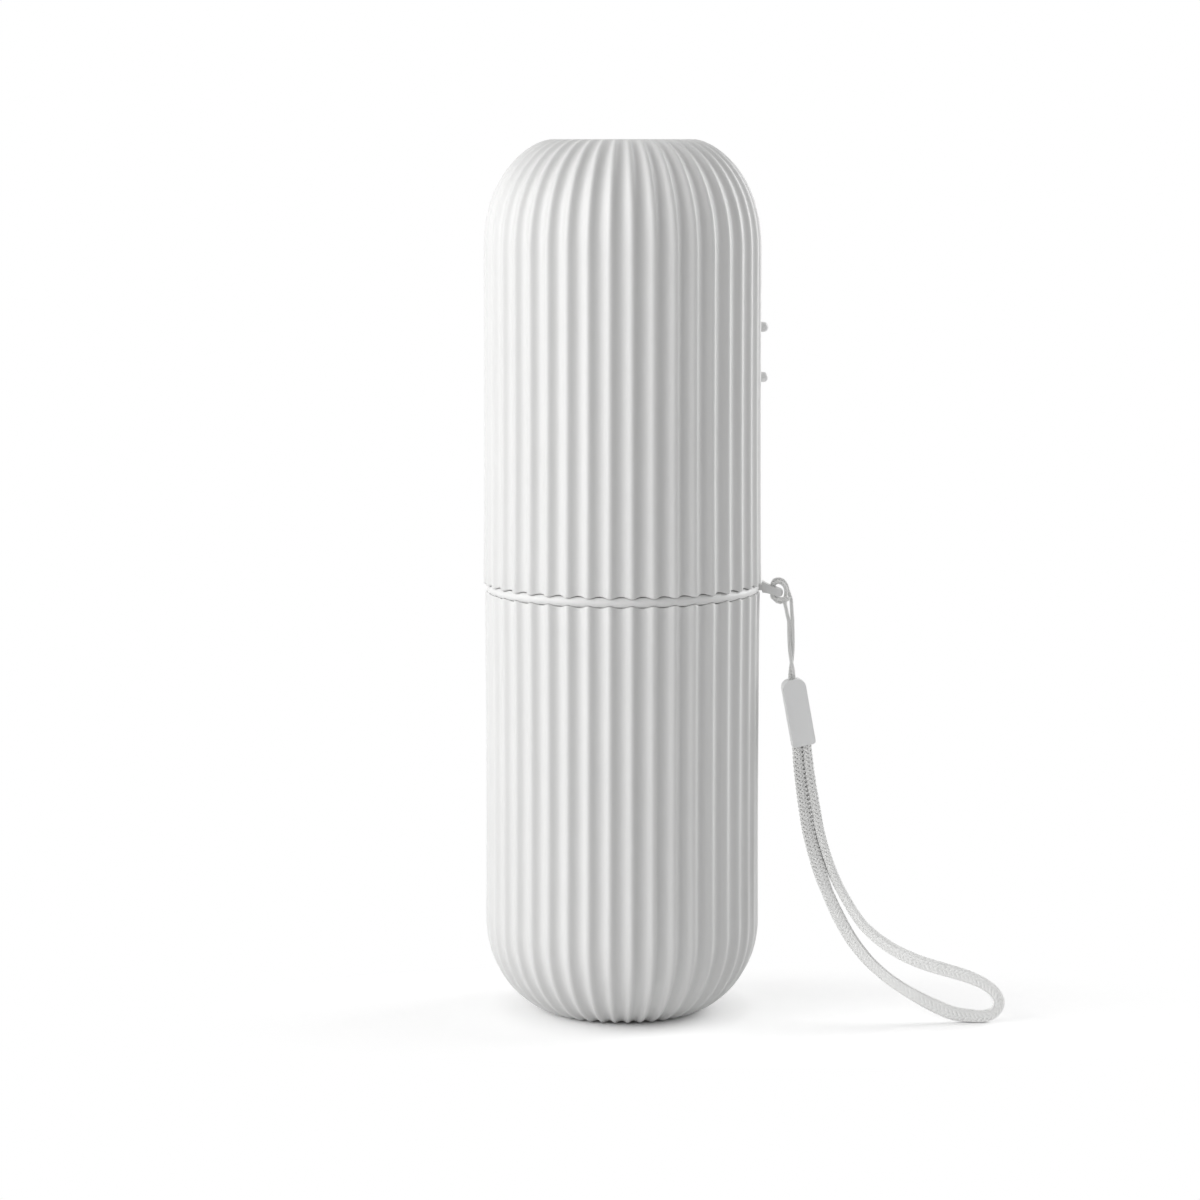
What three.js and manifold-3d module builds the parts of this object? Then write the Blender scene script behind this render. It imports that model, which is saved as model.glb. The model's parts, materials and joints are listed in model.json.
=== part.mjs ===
// A fluted travel case for toothbrushes, with a small light module in its cap and a wrist strap.
// Millimetres, +Z up. The origin is the middle of the base, on the surface that the case stands on.
// +X points to the buttons and to the lug of the strap ring, and -Y is the front.
import * as THREE from "three";
import { mergeVertices } from "three/addons/utils/BufferGeometryUtils.js";
import Module from "manifold-3d";

const wasm = await Module();
wasm.setup();

// Case, over its ridges. The ring's height is also the height of the body.
const RING_HEIGHT = 102.9;
const CAP_HEIGHT = 106.5;
const CASE_HEIGHT = RING_HEIGHT + CAP_HEIGHT;
const CASE_RADIUS = 32.98;
const WALL = 3.38;
const BORE = CASE_RADIUS - WALL;
const BODY_WAIST = 0.14;
const CAP_FLARE = 0.35;
const CAP_FLAT_RADIUS = 16.9;
const CAP_SHOULDER = 26.8;
const BODY_FLAT_RADIUS = 17.3;
const BODY_SHOULDER = 22.9;
const GAP = 0.3;
const OVERRUN = 2;

// Ribs
const RIB_COUNT = 40;
const RIB_DEPTH = 1.15;
const BASE_RIB_END = 0.4;
const CAP_RIB_END = 0.1;
const FLAT_MARGIN = 1.2;
const RIDGE_SHARE = 0.36;
const RIB_POINT_SHARES = [0, 0.19, 0.5, 0.81];
const FADE_SHARE = 0.5;

// Shoulder curve, a rounded quarter turn: powers of cosine and sine
const CAP_ROUND_SHARES = { in: 1.25, up: 0.85 };
const BODY_ROUND_SHARES = { in: 1.3, up: 0.92 };
const SHOULDER_STEP_SHARES = [0.2, 0.41, 0.62, 0.82, 1];
const BOWL_STEP_SHARES = [0.3, 0.65, 1];
const CAP_RING_SHARES = [0.3, 1];
const BODY_RING_SHARES = [0.5, 1];

// Mouths of the cap and body, measured from the middle of the strap ring
const RIM_TIP = 0.86;
const RIM_VALLEY = 1.3;
const RIM_ROUND = 0.4;
const SEAT_LIFT = 1.5;
const SEAT_INSET = 1.88;

// Walls inside
const CAP_ROOF = 2.6;
const BODY_FLOOR = 2.4;
const LINER_WALL = 1.8;
const NECK_RISE = 9;
const NECK_CHAMFER = 0.6;
const SEAL_HEIGHT = 1.6;
const SEAL_DEPTH = 0.9;
const SEAL_RISE = 5.5;

// Pad and divider
const PAD_CLEARANCE = 1.5;
const PAD_THICKNESS = 2.5;
const PAD_CHAMFER = 0.5;
const PAD_GROOVE = 0.6;
const DIVIDER_THICKNESS = 1.4;
const DIVIDER_RISE = 1.5;
const DIVIDER_DIP = 14;

// Strap ring and its lug
const BEAD_INSET = 0.28;
const BEAD_HALF_HEIGHT = 1.2;
const BEAD_ROUND = 1.2;
const BEAD_SEGMENTS = 50;
const BEAD_STEPS = 5;
const LUG_NECK_HALF_WIDTH = 1.4;
const LUG_NECK_HALF_HEIGHT = 0.58;
const LUG_ROOT_HALF_WIDTH = 1.7;
const LUG_ROOT_HALF_HEIGHT = 1.3;
const LUG_HALF_HEIGHT = 0.95;
const LUG_TAPER = 2.4;
const LUG_REACH = 4.87;
const LUG_DROOP_DEG = 18;
const LUG_TIP_HALF_WIDTH = 2.15;
const LUG_EYE_INSET = 2.3;
const LUG_EYE_HALF_LENGTH = 0.8;
const LUG_EYE_HALF_WIDTH = 1.35;

// Strap clamp
const CLAMP_WIDTH = 5.6;
const CLAMP_LENGTH = 16.2;
const CLAMP_THICKNESS = 4.4;
const CLAMP_TOP_ROUND = 2.0;
const CLAMP_FOOT_ROUND = 0.8;
const CLAMP_BEVEL = 0.5;
const CLAMP_X = 42.27;
const CLAMP_Y = -1.0;
const CLAMP_Z = 72.7;
const CLAMP_TILT_DEG = 10.3;
const CLAMP_TURN_DEG = 6;

// Hitch string and wrist strap
const STRING_DIAMETER = 0.9;
const STRING_STEPS = 64;
const TWIST_RADIUS = 0.46;
const TWIST_POWER_SHARE = 2.3;
const TWIST_STEPS = 7;
const STRAP_WIDTH = 3.0;
const STRAP_THICKNESS = 2.1;
const STRAP_STEPS = 60;
const CORD_SIDES = 8;

// Buttons, the upper one measured down from where the cap's shoulder starts
const BUTTON_DROP = 17.5;
const BUTTON_PITCH = 11.9;
const BUTTON_RADIUS = 1.2;
const BUTTON_PROUD = 1.7;
const BUTTON_DOME = 1.15;
const BUTTON_DOME_SHARES = [0.3, 0.6, 0.82];
const BUTTON_FLANGE_RADIUS = 2.0;
const BUTTON_FLANGE = 0.8;
const BUTTON_TRAVEL = 0.6;
const BUTTON_SEGMENTS = 12;

// Light module, whose open face looks at the axis of the case
const POD_HEADROOM = 6.6;
const POD_LENGTH = 45;
const POD_HALF_WIDTH = 10.5;
const POD_DEPTH = 10.1;
const POD_BACK = 3.0;
const POD_WALL = 1.5;
const POD_EDGE = 2.2;
const COVER_THICKNESS = 1.5;
const WINDOW_HALF_WIDTH = 3.6;
const WINDOW_LENGTH = 15;
const WINDOW_THICKNESS = 0.9;
const WINDOW_LIP = 0.8;
const BOARD_THICKNESS = 1.0;
const BOARD_MARGIN = 0.6;
const CELL_RADIUS = 8.0;
const CELL_THICKNESS = 3.2;
const CELL_STEP = 0.5;
const CONTACT_THICKNESS = 0.4;
const CONTACT_WIDTH = 5.0;
const CONTACT_HOLE_RADIUS = 1.2;
const EMITTER_SIZE = 3.4;
const EMITTER_THICKNESS = 1.1;
const EMITTER_PITCH = 4.6;
const EMITTER_COUNT = 3;
const EMITTER_DOME = 1.2;
const SWITCH_SIZE = 4.4;
const SWITCH_THICKNESS = 1.3;
const PLUNGER_RADIUS = 1.0;
const PLUNGER_CLEARANCE = 0.2;
const POST_RADIUS = 1.2;
const SCREW_RADIUS = 0.8;
const SCREW_LENGTH = 4.6;
const SCREW_HEAD_RADIUS = 1.6;
const SCREW_HEAD = 0.8;
const SCREW_SLOT = 0.4;
const SCREW_INSET = 3.2;
const BOSS_RADIUS = 2.1;
const BOSS_DEPTH = 5.0;
const SMALL_SEGMENTS = 10;
const PAD_SEGMENTS = 24;
const PLATE_STEPS = 3;
const CURVE_STEPS = 6;
const MERGE_DISTANCE = 1e-4;

const quarterTurn = Math.PI / 2;
const ribPitch = (2 * Math.PI) / RIB_COUNT;

// Materials
const finish = (color, roughness, metalness = 0) =>
  new THREE.MeshStandardMaterial({ color, roughness, metalness });
const caseWhite = () => finish(0xe6e6e4, 0.45);
const buttonWhite = () => finish(0xe2e2e0, 0.4);
const linerWhite = () => finish(0xf0f0ee, 0.5);
const ringWhite = () => finish(0xeaeae8, 0.35);
const clampGrey = () => finish(0xd2d2d0, 0.5);
const strapWhite = () => finish(0xdcdcda, 0.85);
const sealGrey = () => finish(0xc8ccce, 0.7);
const padGrey = () => finish(0xcfcbc2, 0.95);
const podWhite = () => finish(0xdadcdd, 0.5);
const windowClear = () => finish(0xdfe8f0, 0.1);
const boardGreen = () => finish(0x2c6b45, 0.6);
const switchBlack = () => finish(0x2a2a2a, 0.5);
const emitterYellow = () => finish(0xe8dfae, 0.3);
const steel = () => finish(0xb9bcc0, 0.3, 1);

// Booleans
function solid(geometry) {
  const bare = geometry.clone();
  bare.deleteAttribute("normal");
  bare.deleteAttribute("uv");
  const merged = mergeVertices(bare, MERGE_DISTANCE);
  return new wasm.Manifold(
    new wasm.Mesh({
      numProp: 3,
      vertProperties: new Float32Array(merged.attributes.position.array),
      triVerts: new Uint32Array(merged.index.array),
    }),
  );
}

function geometryOf(manifold) {
  const mesh = manifold.getMesh();
  const geometry = new THREE.BufferGeometry();
  geometry.setAttribute("position", new THREE.BufferAttribute(new Float32Array(mesh.vertProperties), 3));
  geometry.setIndex(new THREE.BufferAttribute(new Uint32Array(mesh.triVerts), 1));
  geometry.computeVertexNormals();
  return geometry;
}

const cut = (blank, ...tools) =>
  geometryOf(tools.reduce((left, tool) => left.subtract(solid(tool)), solid(blank)));
const join = (first, ...others) =>
  geometryOf(others.reduce((left, part) => left.add(solid(part)), solid(first)));
const common = (first, second) => geometryOf(solid(first).intersect(solid(second)));

function named(name, geometry, material) {
  const mesh = new THREE.Mesh(geometry, material);
  mesh.name = name;
  return mesh;
}

// A revolved solid round the Z axis, from [radius, height] pairs
function revolved(outline, segments = RIB_COUNT) {
  const points = outline.map(([radius, height]) => new THREE.Vector2(radius, height));
  return new THREE.LatheGeometry(points, segments).rotateX(quarterTurn);
}

// A revolved solid along +X at one height, from [radius, x] pairs
function revolvedAlongX(outline, height, segments) {
  const turned = revolved(outline, segments).rotateY(quarterTurn);
  return turned.translate(0, 0, height);
}

const rodAlongX = (radius, from, to, height, segments = SMALL_SEGMENTS) =>
  revolvedAlongX([[0, from], [radius, from], [radius, to], [0, to]], height, segments);

function block(fromX, toX, halfWidth, fromZ, toZ) {
  const box = new THREE.BoxGeometry(toX - fromX, 2 * halfWidth, toZ - fromZ);
  return box.translate((fromX + toX) / 2, 0, (fromZ + toZ) / 2);
}

// Fluted shells
// How deep the groove is at a step across one rib, as a share of its full depth.
// A narrow round ridge meets a wide shallow valley with the same slope.
function grooveShare(step) {
  const fromCrest = Math.min(step, 1 - step);
  const halfRidge = RIDGE_SHARE / 2;
  if (fromCrest < halfRidge) return RIDGE_SHARE * (fromCrest / halfRidge) ** 2;
  const halfValley = 1 / 2 - halfRidge;
  return 1 - (1 - RIDGE_SHARE) * ((1 / 2 - fromCrest) / halfValley) ** 2;
}

// Angles round the case, with a valley at +X, and the groove share at each
const aroundCase = Array.from({ length: RIB_COUNT }, (_, rib) =>
  RIB_POINT_SHARES.map((step) => ({ angle: (rib + 1 / 2 + step) * ribPitch, groove: grooveShare(step) })),
).flat();

// One half of the case, along its own axis from the mouth (0) to its closed end
const capHalf = {
  length: CAP_HEIGHT,
  shoulder: CAP_SHOULDER,
  radius: CASE_RADIUS,
  flat: CAP_FLAT_RADIUS,
  round: CAP_ROUND_SHARES,
  ribEnd: CAP_RIB_END,
  end: CAP_ROOF,
  ringShares: CAP_RING_SHARES,
  swell: (share) => CAP_FLARE * (1 - share) ** 3,
};
const bodyHalf = {
  length: RING_HEIGHT,
  shoulder: BODY_SHOULDER,
  radius: CASE_RADIUS,
  flat: BODY_FLAT_RADIUS,
  round: BODY_ROUND_SHARES,
  ribEnd: BASE_RIB_END,
  end: BODY_FLOOR,
  ringShares: BODY_RING_SHARES,
  swell: (share) => -BODY_WAIST * 4 * share * (1 - share),
};

// A point of a shoulder that goes from `radius` at `start` to `flat` at `start + rise`
function shoulderPoint(share, radius, flat, start, rise, round) {
  const turn = share * quarterTurn;
  const inward = share === 1 ? 0 : Math.cos(turn) ** round.in;
  return [flat + (radius - flat) * inward, start + rise * Math.sin(turn) ** round.up];
}

// The outside of a half as rings: radius over the ridges, height, groove depth and lean.
// The lean turns the groove from straight inward on the wall to straight down at the flat.
function outsideRings(half) {
  const straight = half.length - half.shoulder;
  const mouthRadius = half.radius + half.swell(0);
  const rings = [
    { radius: mouthRadius - RIM_ROUND, height: RIM_TIP, depth: RIB_DEPTH, lean: 0, rim: true },
    { radius: mouthRadius, height: RIM_TIP + RIM_ROUND, depth: RIB_DEPTH, lean: 0, rim: true },
  ];
  for (const share of half.ringShares) {
    const radius = half.radius + half.swell(share);
    rings.push({ radius, height: straight * share, depth: RIB_DEPTH, lean: 0 });
  }
  for (const share of SHOULDER_STEP_SHARES) {
    const point = shoulderPoint(share, half.radius, half.flat, straight, half.shoulder, half.round);
    const wide = Math.max(0, (point[0] - half.flat) / (half.radius - half.flat));
    const depth = half.ribEnd + (RIB_DEPTH - half.ribEnd) * wide ** FADE_SHARE;
    rings.push({ radius: point[0], height: point[1], depth, lean: share * quarterTurn });
  }
  return rings;
}

// The valleys of a rim end further from the strap ring than its ridges do
function ringVertex(ring, { angle, groove }) {
  const sunk = groove * ring.depth;
  const radius = ring.radius - sunk * Math.cos(ring.lean);
  const rise = ring.rim ? groove * (RIM_VALLEY - RIM_TIP) : -sunk * Math.sin(ring.lean);
  return [radius * Math.cos(angle), radius * Math.sin(angle), ring.height + rise];
}

function plainVertex(radius, height, { angle }) {
  return [radius * Math.cos(angle), radius * Math.sin(angle), height];
}

// A closed solid from rings of vertices that all have the same count, flat at both ends
function stackedRings(rings, up) {
  const count = rings[0].length;
  const vertices = rings.flat();
  const faces = [];
  const face = (a, b, c) => faces.push(...(up > 0 ? [a, b, c] : [a, c, b]));
  for (let ring = 0; ring < rings.length - 1; ring += 1) {
    for (let k = 0; k < count; k += 1) {
      const next = (k + 1) % count;
      const low = ring * count;
      face(low + k, low + next, low + count + next);
      face(low + k, low + count + next, low + count + k);
    }
  }
  const top = (rings.length - 1) * count;
  const lowMiddle = vertices.push([0, 0, rings[0][0][2]]) - 1;
  const topMiddle = vertices.push([0, 0, rings.at(-1)[0][2]]) - 1;
  for (let k = 0; k < count; k += 1) {
    const next = (k + 1) % count;
    face(lowMiddle, next, k);
    face(topMiddle, top + k, top + next);
  }
  const geometry = new THREE.BufferGeometry();
  const placed = vertices.flatMap(([x, y, z]) => [x, y, RING_HEIGHT + up * z]);
  geometry.setAttribute("position", new THREE.Float32BufferAttribute(placed, 3));
  geometry.setIndex(faces);
  return geometry;
}

// The inside of a half, from its mouth to its closed end, moved in by `inset` all round
function bowlOutline(half, inset) {
  const rise = half.shoulder - half.end;
  const start = half.length - half.shoulder - inset;
  const flat = half.flat - half.end / 2 - inset;
  return [0, ...BOWL_STEP_SHARES].map((share) =>
    shoulderPoint(share, BORE - inset, flat, start, rise, half.round),
  );
}

const placedHeight = (up, height) => RING_HEIGHT + up * height;

function cavity(half, up) {
  const bowl = bowlOutline(half, 0);
  const outline = [[0, -OVERRUN], [BORE, -OVERRUN], ...bowl, [0, bowl.at(-1)[1]]];
  const placed = outline.map(([radius, height]) => [radius, placedHeight(up, height)]);
  return revolved(up > 0 ? placed : placed.reverse());
}

function shell(half, up) {
  const seat = aroundCase.map((place) => plainVertex(half.radius - SEAT_INSET, SEAT_LIFT, place));
  const rings = outsideRings(half).map((ring) => aroundCase.map((place) => ringVertex(ring, place)));
  const flat = aroundCase.map((place) => plainVertex(half.flat - FLAT_MARGIN, half.length, place));
  return cut(stackedRings([seat, ...rings, flat], up), cavity(half, up));
}

const upperButtonHeight = CASE_HEIGHT - CAP_SHOULDER - BUTTON_DROP;
const lowerButtonHeight = upperButtonHeight - BUTTON_PITCH;
const buttonHeights = [upperButtonHeight, lowerButtonHeight];

const podFace = BORE - POD_DEPTH;

function capShell() {
  const holes = buttonHeights.map((height) =>
    rodAlongX(BUTTON_RADIUS + GAP, podFace, CASE_RADIUS + OVERRUN, height),
  );
  return cut(shell(capHalf, 1), ...holes);
}

// Body
const neckTop = RING_HEIGHT + NECK_RISE;
const linerRadius = BORE - GAP;
const linerBore = linerRadius - LINER_WALL;
const linerFloor = BODY_FLOOR + GAP + LINER_WALL;
const bodyBowl = (inset) =>
  bowlOutline(bodyHalf, inset).map(([radius, height]) => [radius, RING_HEIGHT - height]);
const padRadius = bodyBowl(GAP + LINER_WALL).at(-1)[0] - PAD_CLEARANCE;

function bodyLiner() {
  const outside = bodyBowl(GAP).reverse();
  const inside = bodyBowl(GAP + LINER_WALL);
  const grooveRadius = linerRadius - SEAL_DEPTH - GAP;
  const grooveLow = RING_HEIGHT + SEAL_RISE - SEAL_HEIGHT / 2 - GAP;
  const grooveHigh = RING_HEIGHT + SEAL_RISE + SEAL_HEIGHT / 2 + GAP;
  return revolved([
    [0, outside[0][1]],
    ...outside,
    [linerRadius, grooveLow],
    [grooveRadius, grooveLow],
    [grooveRadius, grooveHigh],
    [linerRadius, grooveHigh],
    [linerRadius, neckTop - NECK_CHAMFER],
    [linerRadius - NECK_CHAMFER, neckTop],
    [linerBore, neckTop],
    ...inside,
    [0, inside.at(-1)[1]],
  ]);
}

function neckSeal() {
  const middle = RING_HEIGHT + SEAL_RISE;
  const inner = linerRadius - SEAL_DEPTH;
  const low = middle - SEAL_HEIGHT / 2;
  const high = middle + SEAL_HEIGHT / 2;
  return revolved([
    [inner, low],
    [linerRadius - SEAL_DEPTH / 2, low],
    [linerRadius, middle],
    [linerRadius - SEAL_DEPTH / 2, high],
    [inner, high],
    [inner, low],
  ]);
}

function dripPad() {
  const low = linerFloor + GAP;
  const high = low + PAD_THICKNESS;
  const groove = padRadius / 2;
  const outline = [
    [0, low],
    [padRadius, low],
    [padRadius, high - PAD_CHAMFER],
    [padRadius - PAD_CHAMFER, high],
    [groove + PAD_GROOVE, high],
    [groove, high - PAD_GROOVE],
    [groove - PAD_GROOVE, high],
    [0, high],
  ];
  return revolved(outline, PAD_SEGMENTS);
}

// One wall of the divider: it follows the inside of the liner and dips in the middle of its top
function dividerWall() {
  const side = bodyBowl(2 * GAP + LINER_WALL);
  const bottom = linerFloor + 2 * GAP + PAD_THICKNESS;
  const top = RING_HEIGHT + DIVIDER_RISE;
  const halfWidth = side[0][0];
  const right = side.filter(([, height]) => height > bottom);
  const outline = new THREE.Shape();
  outline.moveTo(-halfWidth, top);
  for (const [radius, height] of right) outline.lineTo(-radius, height);
  outline.lineTo(-padRadius, bottom);
  outline.lineTo(padRadius, bottom);
  for (const [radius, height] of right.reverse()) outline.lineTo(radius, height);
  outline.lineTo(halfWidth, top);
  outline.quadraticCurveTo(0, top - 2 * DIVIDER_DIP, -halfWidth, top);
  const wall = new THREE.ExtrudeGeometry(outline, {
    depth: DIVIDER_THICKNESS,
    bevelEnabled: false,
    curveSegments: CURVE_STEPS,
  });
  return wall.translate(0, 0, -DIVIDER_THICKNESS / 2).rotateX(quarterTurn);
}

const brushDivider = () => join(dividerWall(), dividerWall().rotateZ(quarterTurn));

// Strap ring
const beadRadius = CASE_RADIUS - BEAD_INSET;
const beadCentre = beadRadius - BEAD_ROUND;

function bead() {
  const outline = [[BORE, RING_HEIGHT - BEAD_HALF_HEIGHT]];
  for (let step = 0; step <= BEAD_STEPS; step += 1) {
    const turn = -quarterTurn + (step / BEAD_STEPS) * Math.PI;
    outline.push([
      beadCentre + BEAD_ROUND * Math.cos(turn),
      RING_HEIGHT + BEAD_HALF_HEIGHT * Math.sin(turn),
    ]);
  }
  outline.push([BORE, RING_HEIGHT + BEAD_HALF_HEIGHT]);
  outline.push(outline[0]);
  return revolved(outline, BEAD_SEGMENTS);
}

// The lug starts clear of the ridges, and a thin neck between their tips joins it to the ring
const lugRootX = CASE_RADIUS + CAP_FLARE + GAP;
const lugTipX = lugRootX + LUG_REACH;
const lugDroop = THREE.MathUtils.degToRad(LUG_DROOP_DEG);

// The lug seen from the front: thick at its root, then an even bar with a round end
function lugSide() {
  const length = LUG_REACH / Math.cos(lugDroop);
  const outline = new THREE.Shape();
  outline.moveTo(0, -LUG_ROOT_HALF_HEIGHT);
  outline.quadraticCurveTo(LUG_TAPER / 2, -LUG_HALF_HEIGHT, LUG_TAPER, -LUG_HALF_HEIGHT);
  outline.absarc(length - LUG_HALF_HEIGHT, 0, LUG_HALF_HEIGHT, -quarterTurn, quarterTurn, false);
  outline.lineTo(LUG_TAPER, LUG_HALF_HEIGHT);
  outline.quadraticCurveTo(LUG_TAPER / 2, LUG_HALF_HEIGHT, 0, LUG_ROOT_HALF_HEIGHT);
  outline.closePath();
  const slab = new THREE.ExtrudeGeometry(outline, {
    depth: 2 * LUG_TIP_HALF_WIDTH,
    bevelEnabled: false,
    curveSegments: CURVE_STEPS,
  });
  slab.translate(0, 0, -LUG_TIP_HALF_WIDTH).rotateX(quarterTurn).rotateY(lugDroop);
  return slab.translate(lugRootX, 0, RING_HEIGHT);
}

// The lug seen from above: it widens to a round head with an oval eye
function lugPlan() {
  const shoulderTurn = 1.25 * quarterTurn;
  const back = lugRootX - GAP;
  const outline = new THREE.Shape();
  outline.moveTo(back, -LUG_ROOT_HALF_WIDTH);
  outline.lineTo(lugRootX, -LUG_ROOT_HALF_WIDTH);
  outline.absarc(lugTipX - LUG_TIP_HALF_WIDTH, 0, LUG_TIP_HALF_WIDTH, -shoulderTurn, shoulderTurn, false);
  outline.lineTo(lugRootX, LUG_ROOT_HALF_WIDTH);
  outline.lineTo(back, LUG_ROOT_HALF_WIDTH);
  outline.closePath();
  const eye = new THREE.Path();
  const eyeX = lugTipX - LUG_EYE_INSET;
  eye.absellipse(eyeX, 0, LUG_EYE_HALF_LENGTH, LUG_EYE_HALF_WIDTH, 0, 2 * Math.PI, true);
  outline.holes.push(eye);
  const column = new THREE.ExtrudeGeometry(outline, {
    depth: 2 * LUG_REACH,
    bevelEnabled: false,
    curveSegments: CURVE_STEPS,
  });
  return column.translate(0, 0, RING_HEIGHT - LUG_REACH);
}

function strapRing() {
  const low = RING_HEIGHT - LUG_NECK_HALF_HEIGHT;
  const high = RING_HEIGHT + LUG_NECK_HALF_HEIGHT;
  const neck = block(beadCentre, lugRootX + LUG_TAPER / 2, LUG_NECK_HALF_WIDTH, low, high);
  return join(bead(), neck, common(lugSide(), lugPlan()));
}

// Clamp
function clampOutline() {
  const half = CLAMP_WIDTH / 2 - CLAMP_BEVEL;
  const top = CLAMP_LENGTH / 2 - CLAMP_BEVEL;
  const outline = new THREE.Shape();
  outline.moveTo(-half, -top);
  outline.lineTo(half - CLAMP_FOOT_ROUND, -top);
  outline.quadraticCurveTo(half, -top, half, -top + CLAMP_FOOT_ROUND);
  outline.lineTo(half, top - CLAMP_TOP_ROUND);
  const arcSide = half - CLAMP_TOP_ROUND;
  const arcHeight = top - CLAMP_TOP_ROUND;
  outline.absarc(arcSide, arcHeight, CLAMP_TOP_ROUND, 0, quarterTurn, false);
  outline.absarc(-arcSide, arcHeight, CLAMP_TOP_ROUND, quarterTurn, Math.PI, false);
  outline.closePath();
  return outline;
}

const clampTilt = THREE.MathUtils.degToRad(CLAMP_TILT_DEG);

function strapClamp() {
  const blank = new THREE.ExtrudeGeometry(clampOutline(), {
    depth: CLAMP_THICKNESS - 2 * CLAMP_BEVEL,
    bevelEnabled: true,
    bevelSize: CLAMP_BEVEL,
    bevelThickness: CLAMP_BEVEL,
    bevelSegments: 2,
    curveSegments: CURVE_STEPS,
  });
  blank.translate(0, 0, CLAMP_BEVEL - CLAMP_THICKNESS / 2).rotateX(quarterTurn);
  blank.rotateZ(THREE.MathUtils.degToRad(CLAMP_TURN_DEG)).rotateY(-clampTilt);
  return blank.translate(CLAMP_X, CLAMP_Y, CLAMP_Z);
}

// The axis of the clamp points down to the strap
const clampAxis = new THREE.Vector3(Math.sin(clampTilt), 0, -Math.cos(clampTilt));
const clampCentre = new THREE.Vector3(CLAMP_X, CLAMP_Y, CLAMP_Z);
const onClampAxis = (along) => clampCentre.clone().addScaledVector(clampAxis, along);

function tube(points, halfWide, halfThick, steps) {
  const path = new THREE.CatmullRomCurve3(points, false, "centripetal");
  const section = new THREE.Shape();
  for (let side = 0; side < CORD_SIDES; side += 1) {
    const turn = (side / CORD_SIDES) * 2 * Math.PI;
    const method = side === 0 ? "moveTo" : "lineTo";
    section[method](halfWide * Math.cos(turn), halfThick * Math.sin(turn));
  }
  section.closePath();
  return new THREE.ExtrudeGeometry(section, { steps, extrudePath: path, bevelEnabled: false });
}

// The string's hitch on the lug: the front leg goes up over the tip and down through the eye,
// round the front leg as a bight, and back up through the eye to become the back leg
const HITCH_ROUTE = [
  [39.55, -0.5, 96.2],
  [39.3, -0.55, 97.6],
  [39.0, -0.6, 98.9],
  [38.95, -0.6, 100.0],
  [39.2, -0.55, 101.2],
  [39.2, -0.5, 102.3],
  [38.75, -0.5, 103.3],
  [38.0, -0.5, 103.9],
  [37.2, -0.5, 104.05],
  [36.45, -0.5, 103.6],
  [36.1, -0.5, 102.6],
  [36.05, -0.55, 101.5],
  [36.3, -0.95, 100.5],
  [36.9, -1.35, 100.25],
  [37.9, -1.75, 100.15],
  [38.8, -1.65, 100.2],
  [39.7, -1.2, 100.2],
  [39.95, -0.45, 100.1],
  [39.65, 0.3, 99.8],
  [38.9, 0.75, 99.35],
  [37.9, 0.85, 99.05],
  [37.1, 0.8, 99.3],
  [36.5, 0.7, 99.85],
  [35.9, 0.6, 100.5],
  [36.05, 0.52, 101.4],
  [36.1, 0.5, 102.5],
  [35.95, 0.5, 103.45],
  [36.45, 0.5, 104.35],
  [37.35, 0.5, 104.65],
  [38.35, 0.5, 104.4],
  [39.05, 0.5, 103.75],
  [39.45, 0.5, 102.9],
  [39.75, 0.5, 101.9],
  [40.2, 0.5, 100.7],
  [40.5, 0.5, 99.6],
  [40.62, 0.45, 98.0],
  [40.72, 0.35, 96.3],
];
const TWIST_TOP = [40.4, 0, 94.7];

// The two legs lie side by side, wind half a turn on the way down, and enter the clamp side by side
function twistedLeg(side) {
  const top = new THREE.Vector3(...TWIST_TOP);
  const foot = onClampAxis(-CLAMP_LENGTH / 2 - GAP);
  const points = [];
  for (let step = 0; step <= TWIST_STEPS; step += 1) {
    const share = step / TWIST_STEPS;
    const turn = share ** TWIST_POWER_SHARE * Math.PI;
    const point = top.clone().lerp(foot, share);
    point.x += side * TWIST_RADIUS * Math.cos(turn);
    point.y += side * TWIST_RADIUS * Math.sin(turn);
    points.push(point);
  }
  return points;
}

function hitchString() {
  const hitch = HITCH_ROUTE.map((point) => new THREE.Vector3(...point));
  const route = [...twistedLeg(-1).reverse(), ...hitch, ...twistedLeg(1)];
  return tube(route, STRING_DIAMETER / 2, STRING_DIAMETER / 2, STRING_STEPS);
}

// The wrist strap hangs from the clamp, lies on the surface and comes back as one loop
const STRAP_ROUTE = [
  [42.02, -1.0, 64.2],
  [42.39, -1.2, 59.7],
  [42.97, -1.8, 54.9],
  [43.67, -2.6, 50.0],
  [44.65, -3.6, 44.3],
  [46.0, -4.7, 39.2],
  [47.7, -6.0, 33.9],
  [49.75, -7.3, 29.0],
  [52.2, -8.9, 23.9],
  [55.15, -10.6, 19.0],
  [59.0, -12.4, 14.35],
  [63.1, -13.8, 10.8],
  [67.0, -14.8, 8.2],
  [71.0, -15.4, 5.95],
  [75.0, -15.6, 3.95],
  [79.0, -15.7, 2.35],
  [83.0, -15.7, 1.7],
  [86.5, -15.7, 1.6],
  [89.0, -15.6, 2.6],
  [90.06, -15.5, 4.8],
  [89.2, -15.3, 7.05],
  [86.9, -15.1, 9.05],
  [83.5, -14.9, 10.7],
  [79.8, -14.6, 11.85],
  [76.0, -14.2, 12.88],
  [72.3, -13.7, 13.9],
  [68.6, -13.0, 15.27],
  [64.9, -12.0, 17.0],
  [61.2, -10.8, 19.4],
  [57.5, -9.3, 22.75],
  [53.78, -7.6, 28.3],
  [51.0, -6.1, 33.6],
  [49.0, -4.8, 39.0],
  [47.55, -3.7, 44.2],
  [46.5, -2.7, 50.0],
  [45.65, -1.9, 54.9],
  [44.95, -1.3, 59.7],
  [44.4, -1.0, 64.6],
];

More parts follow.
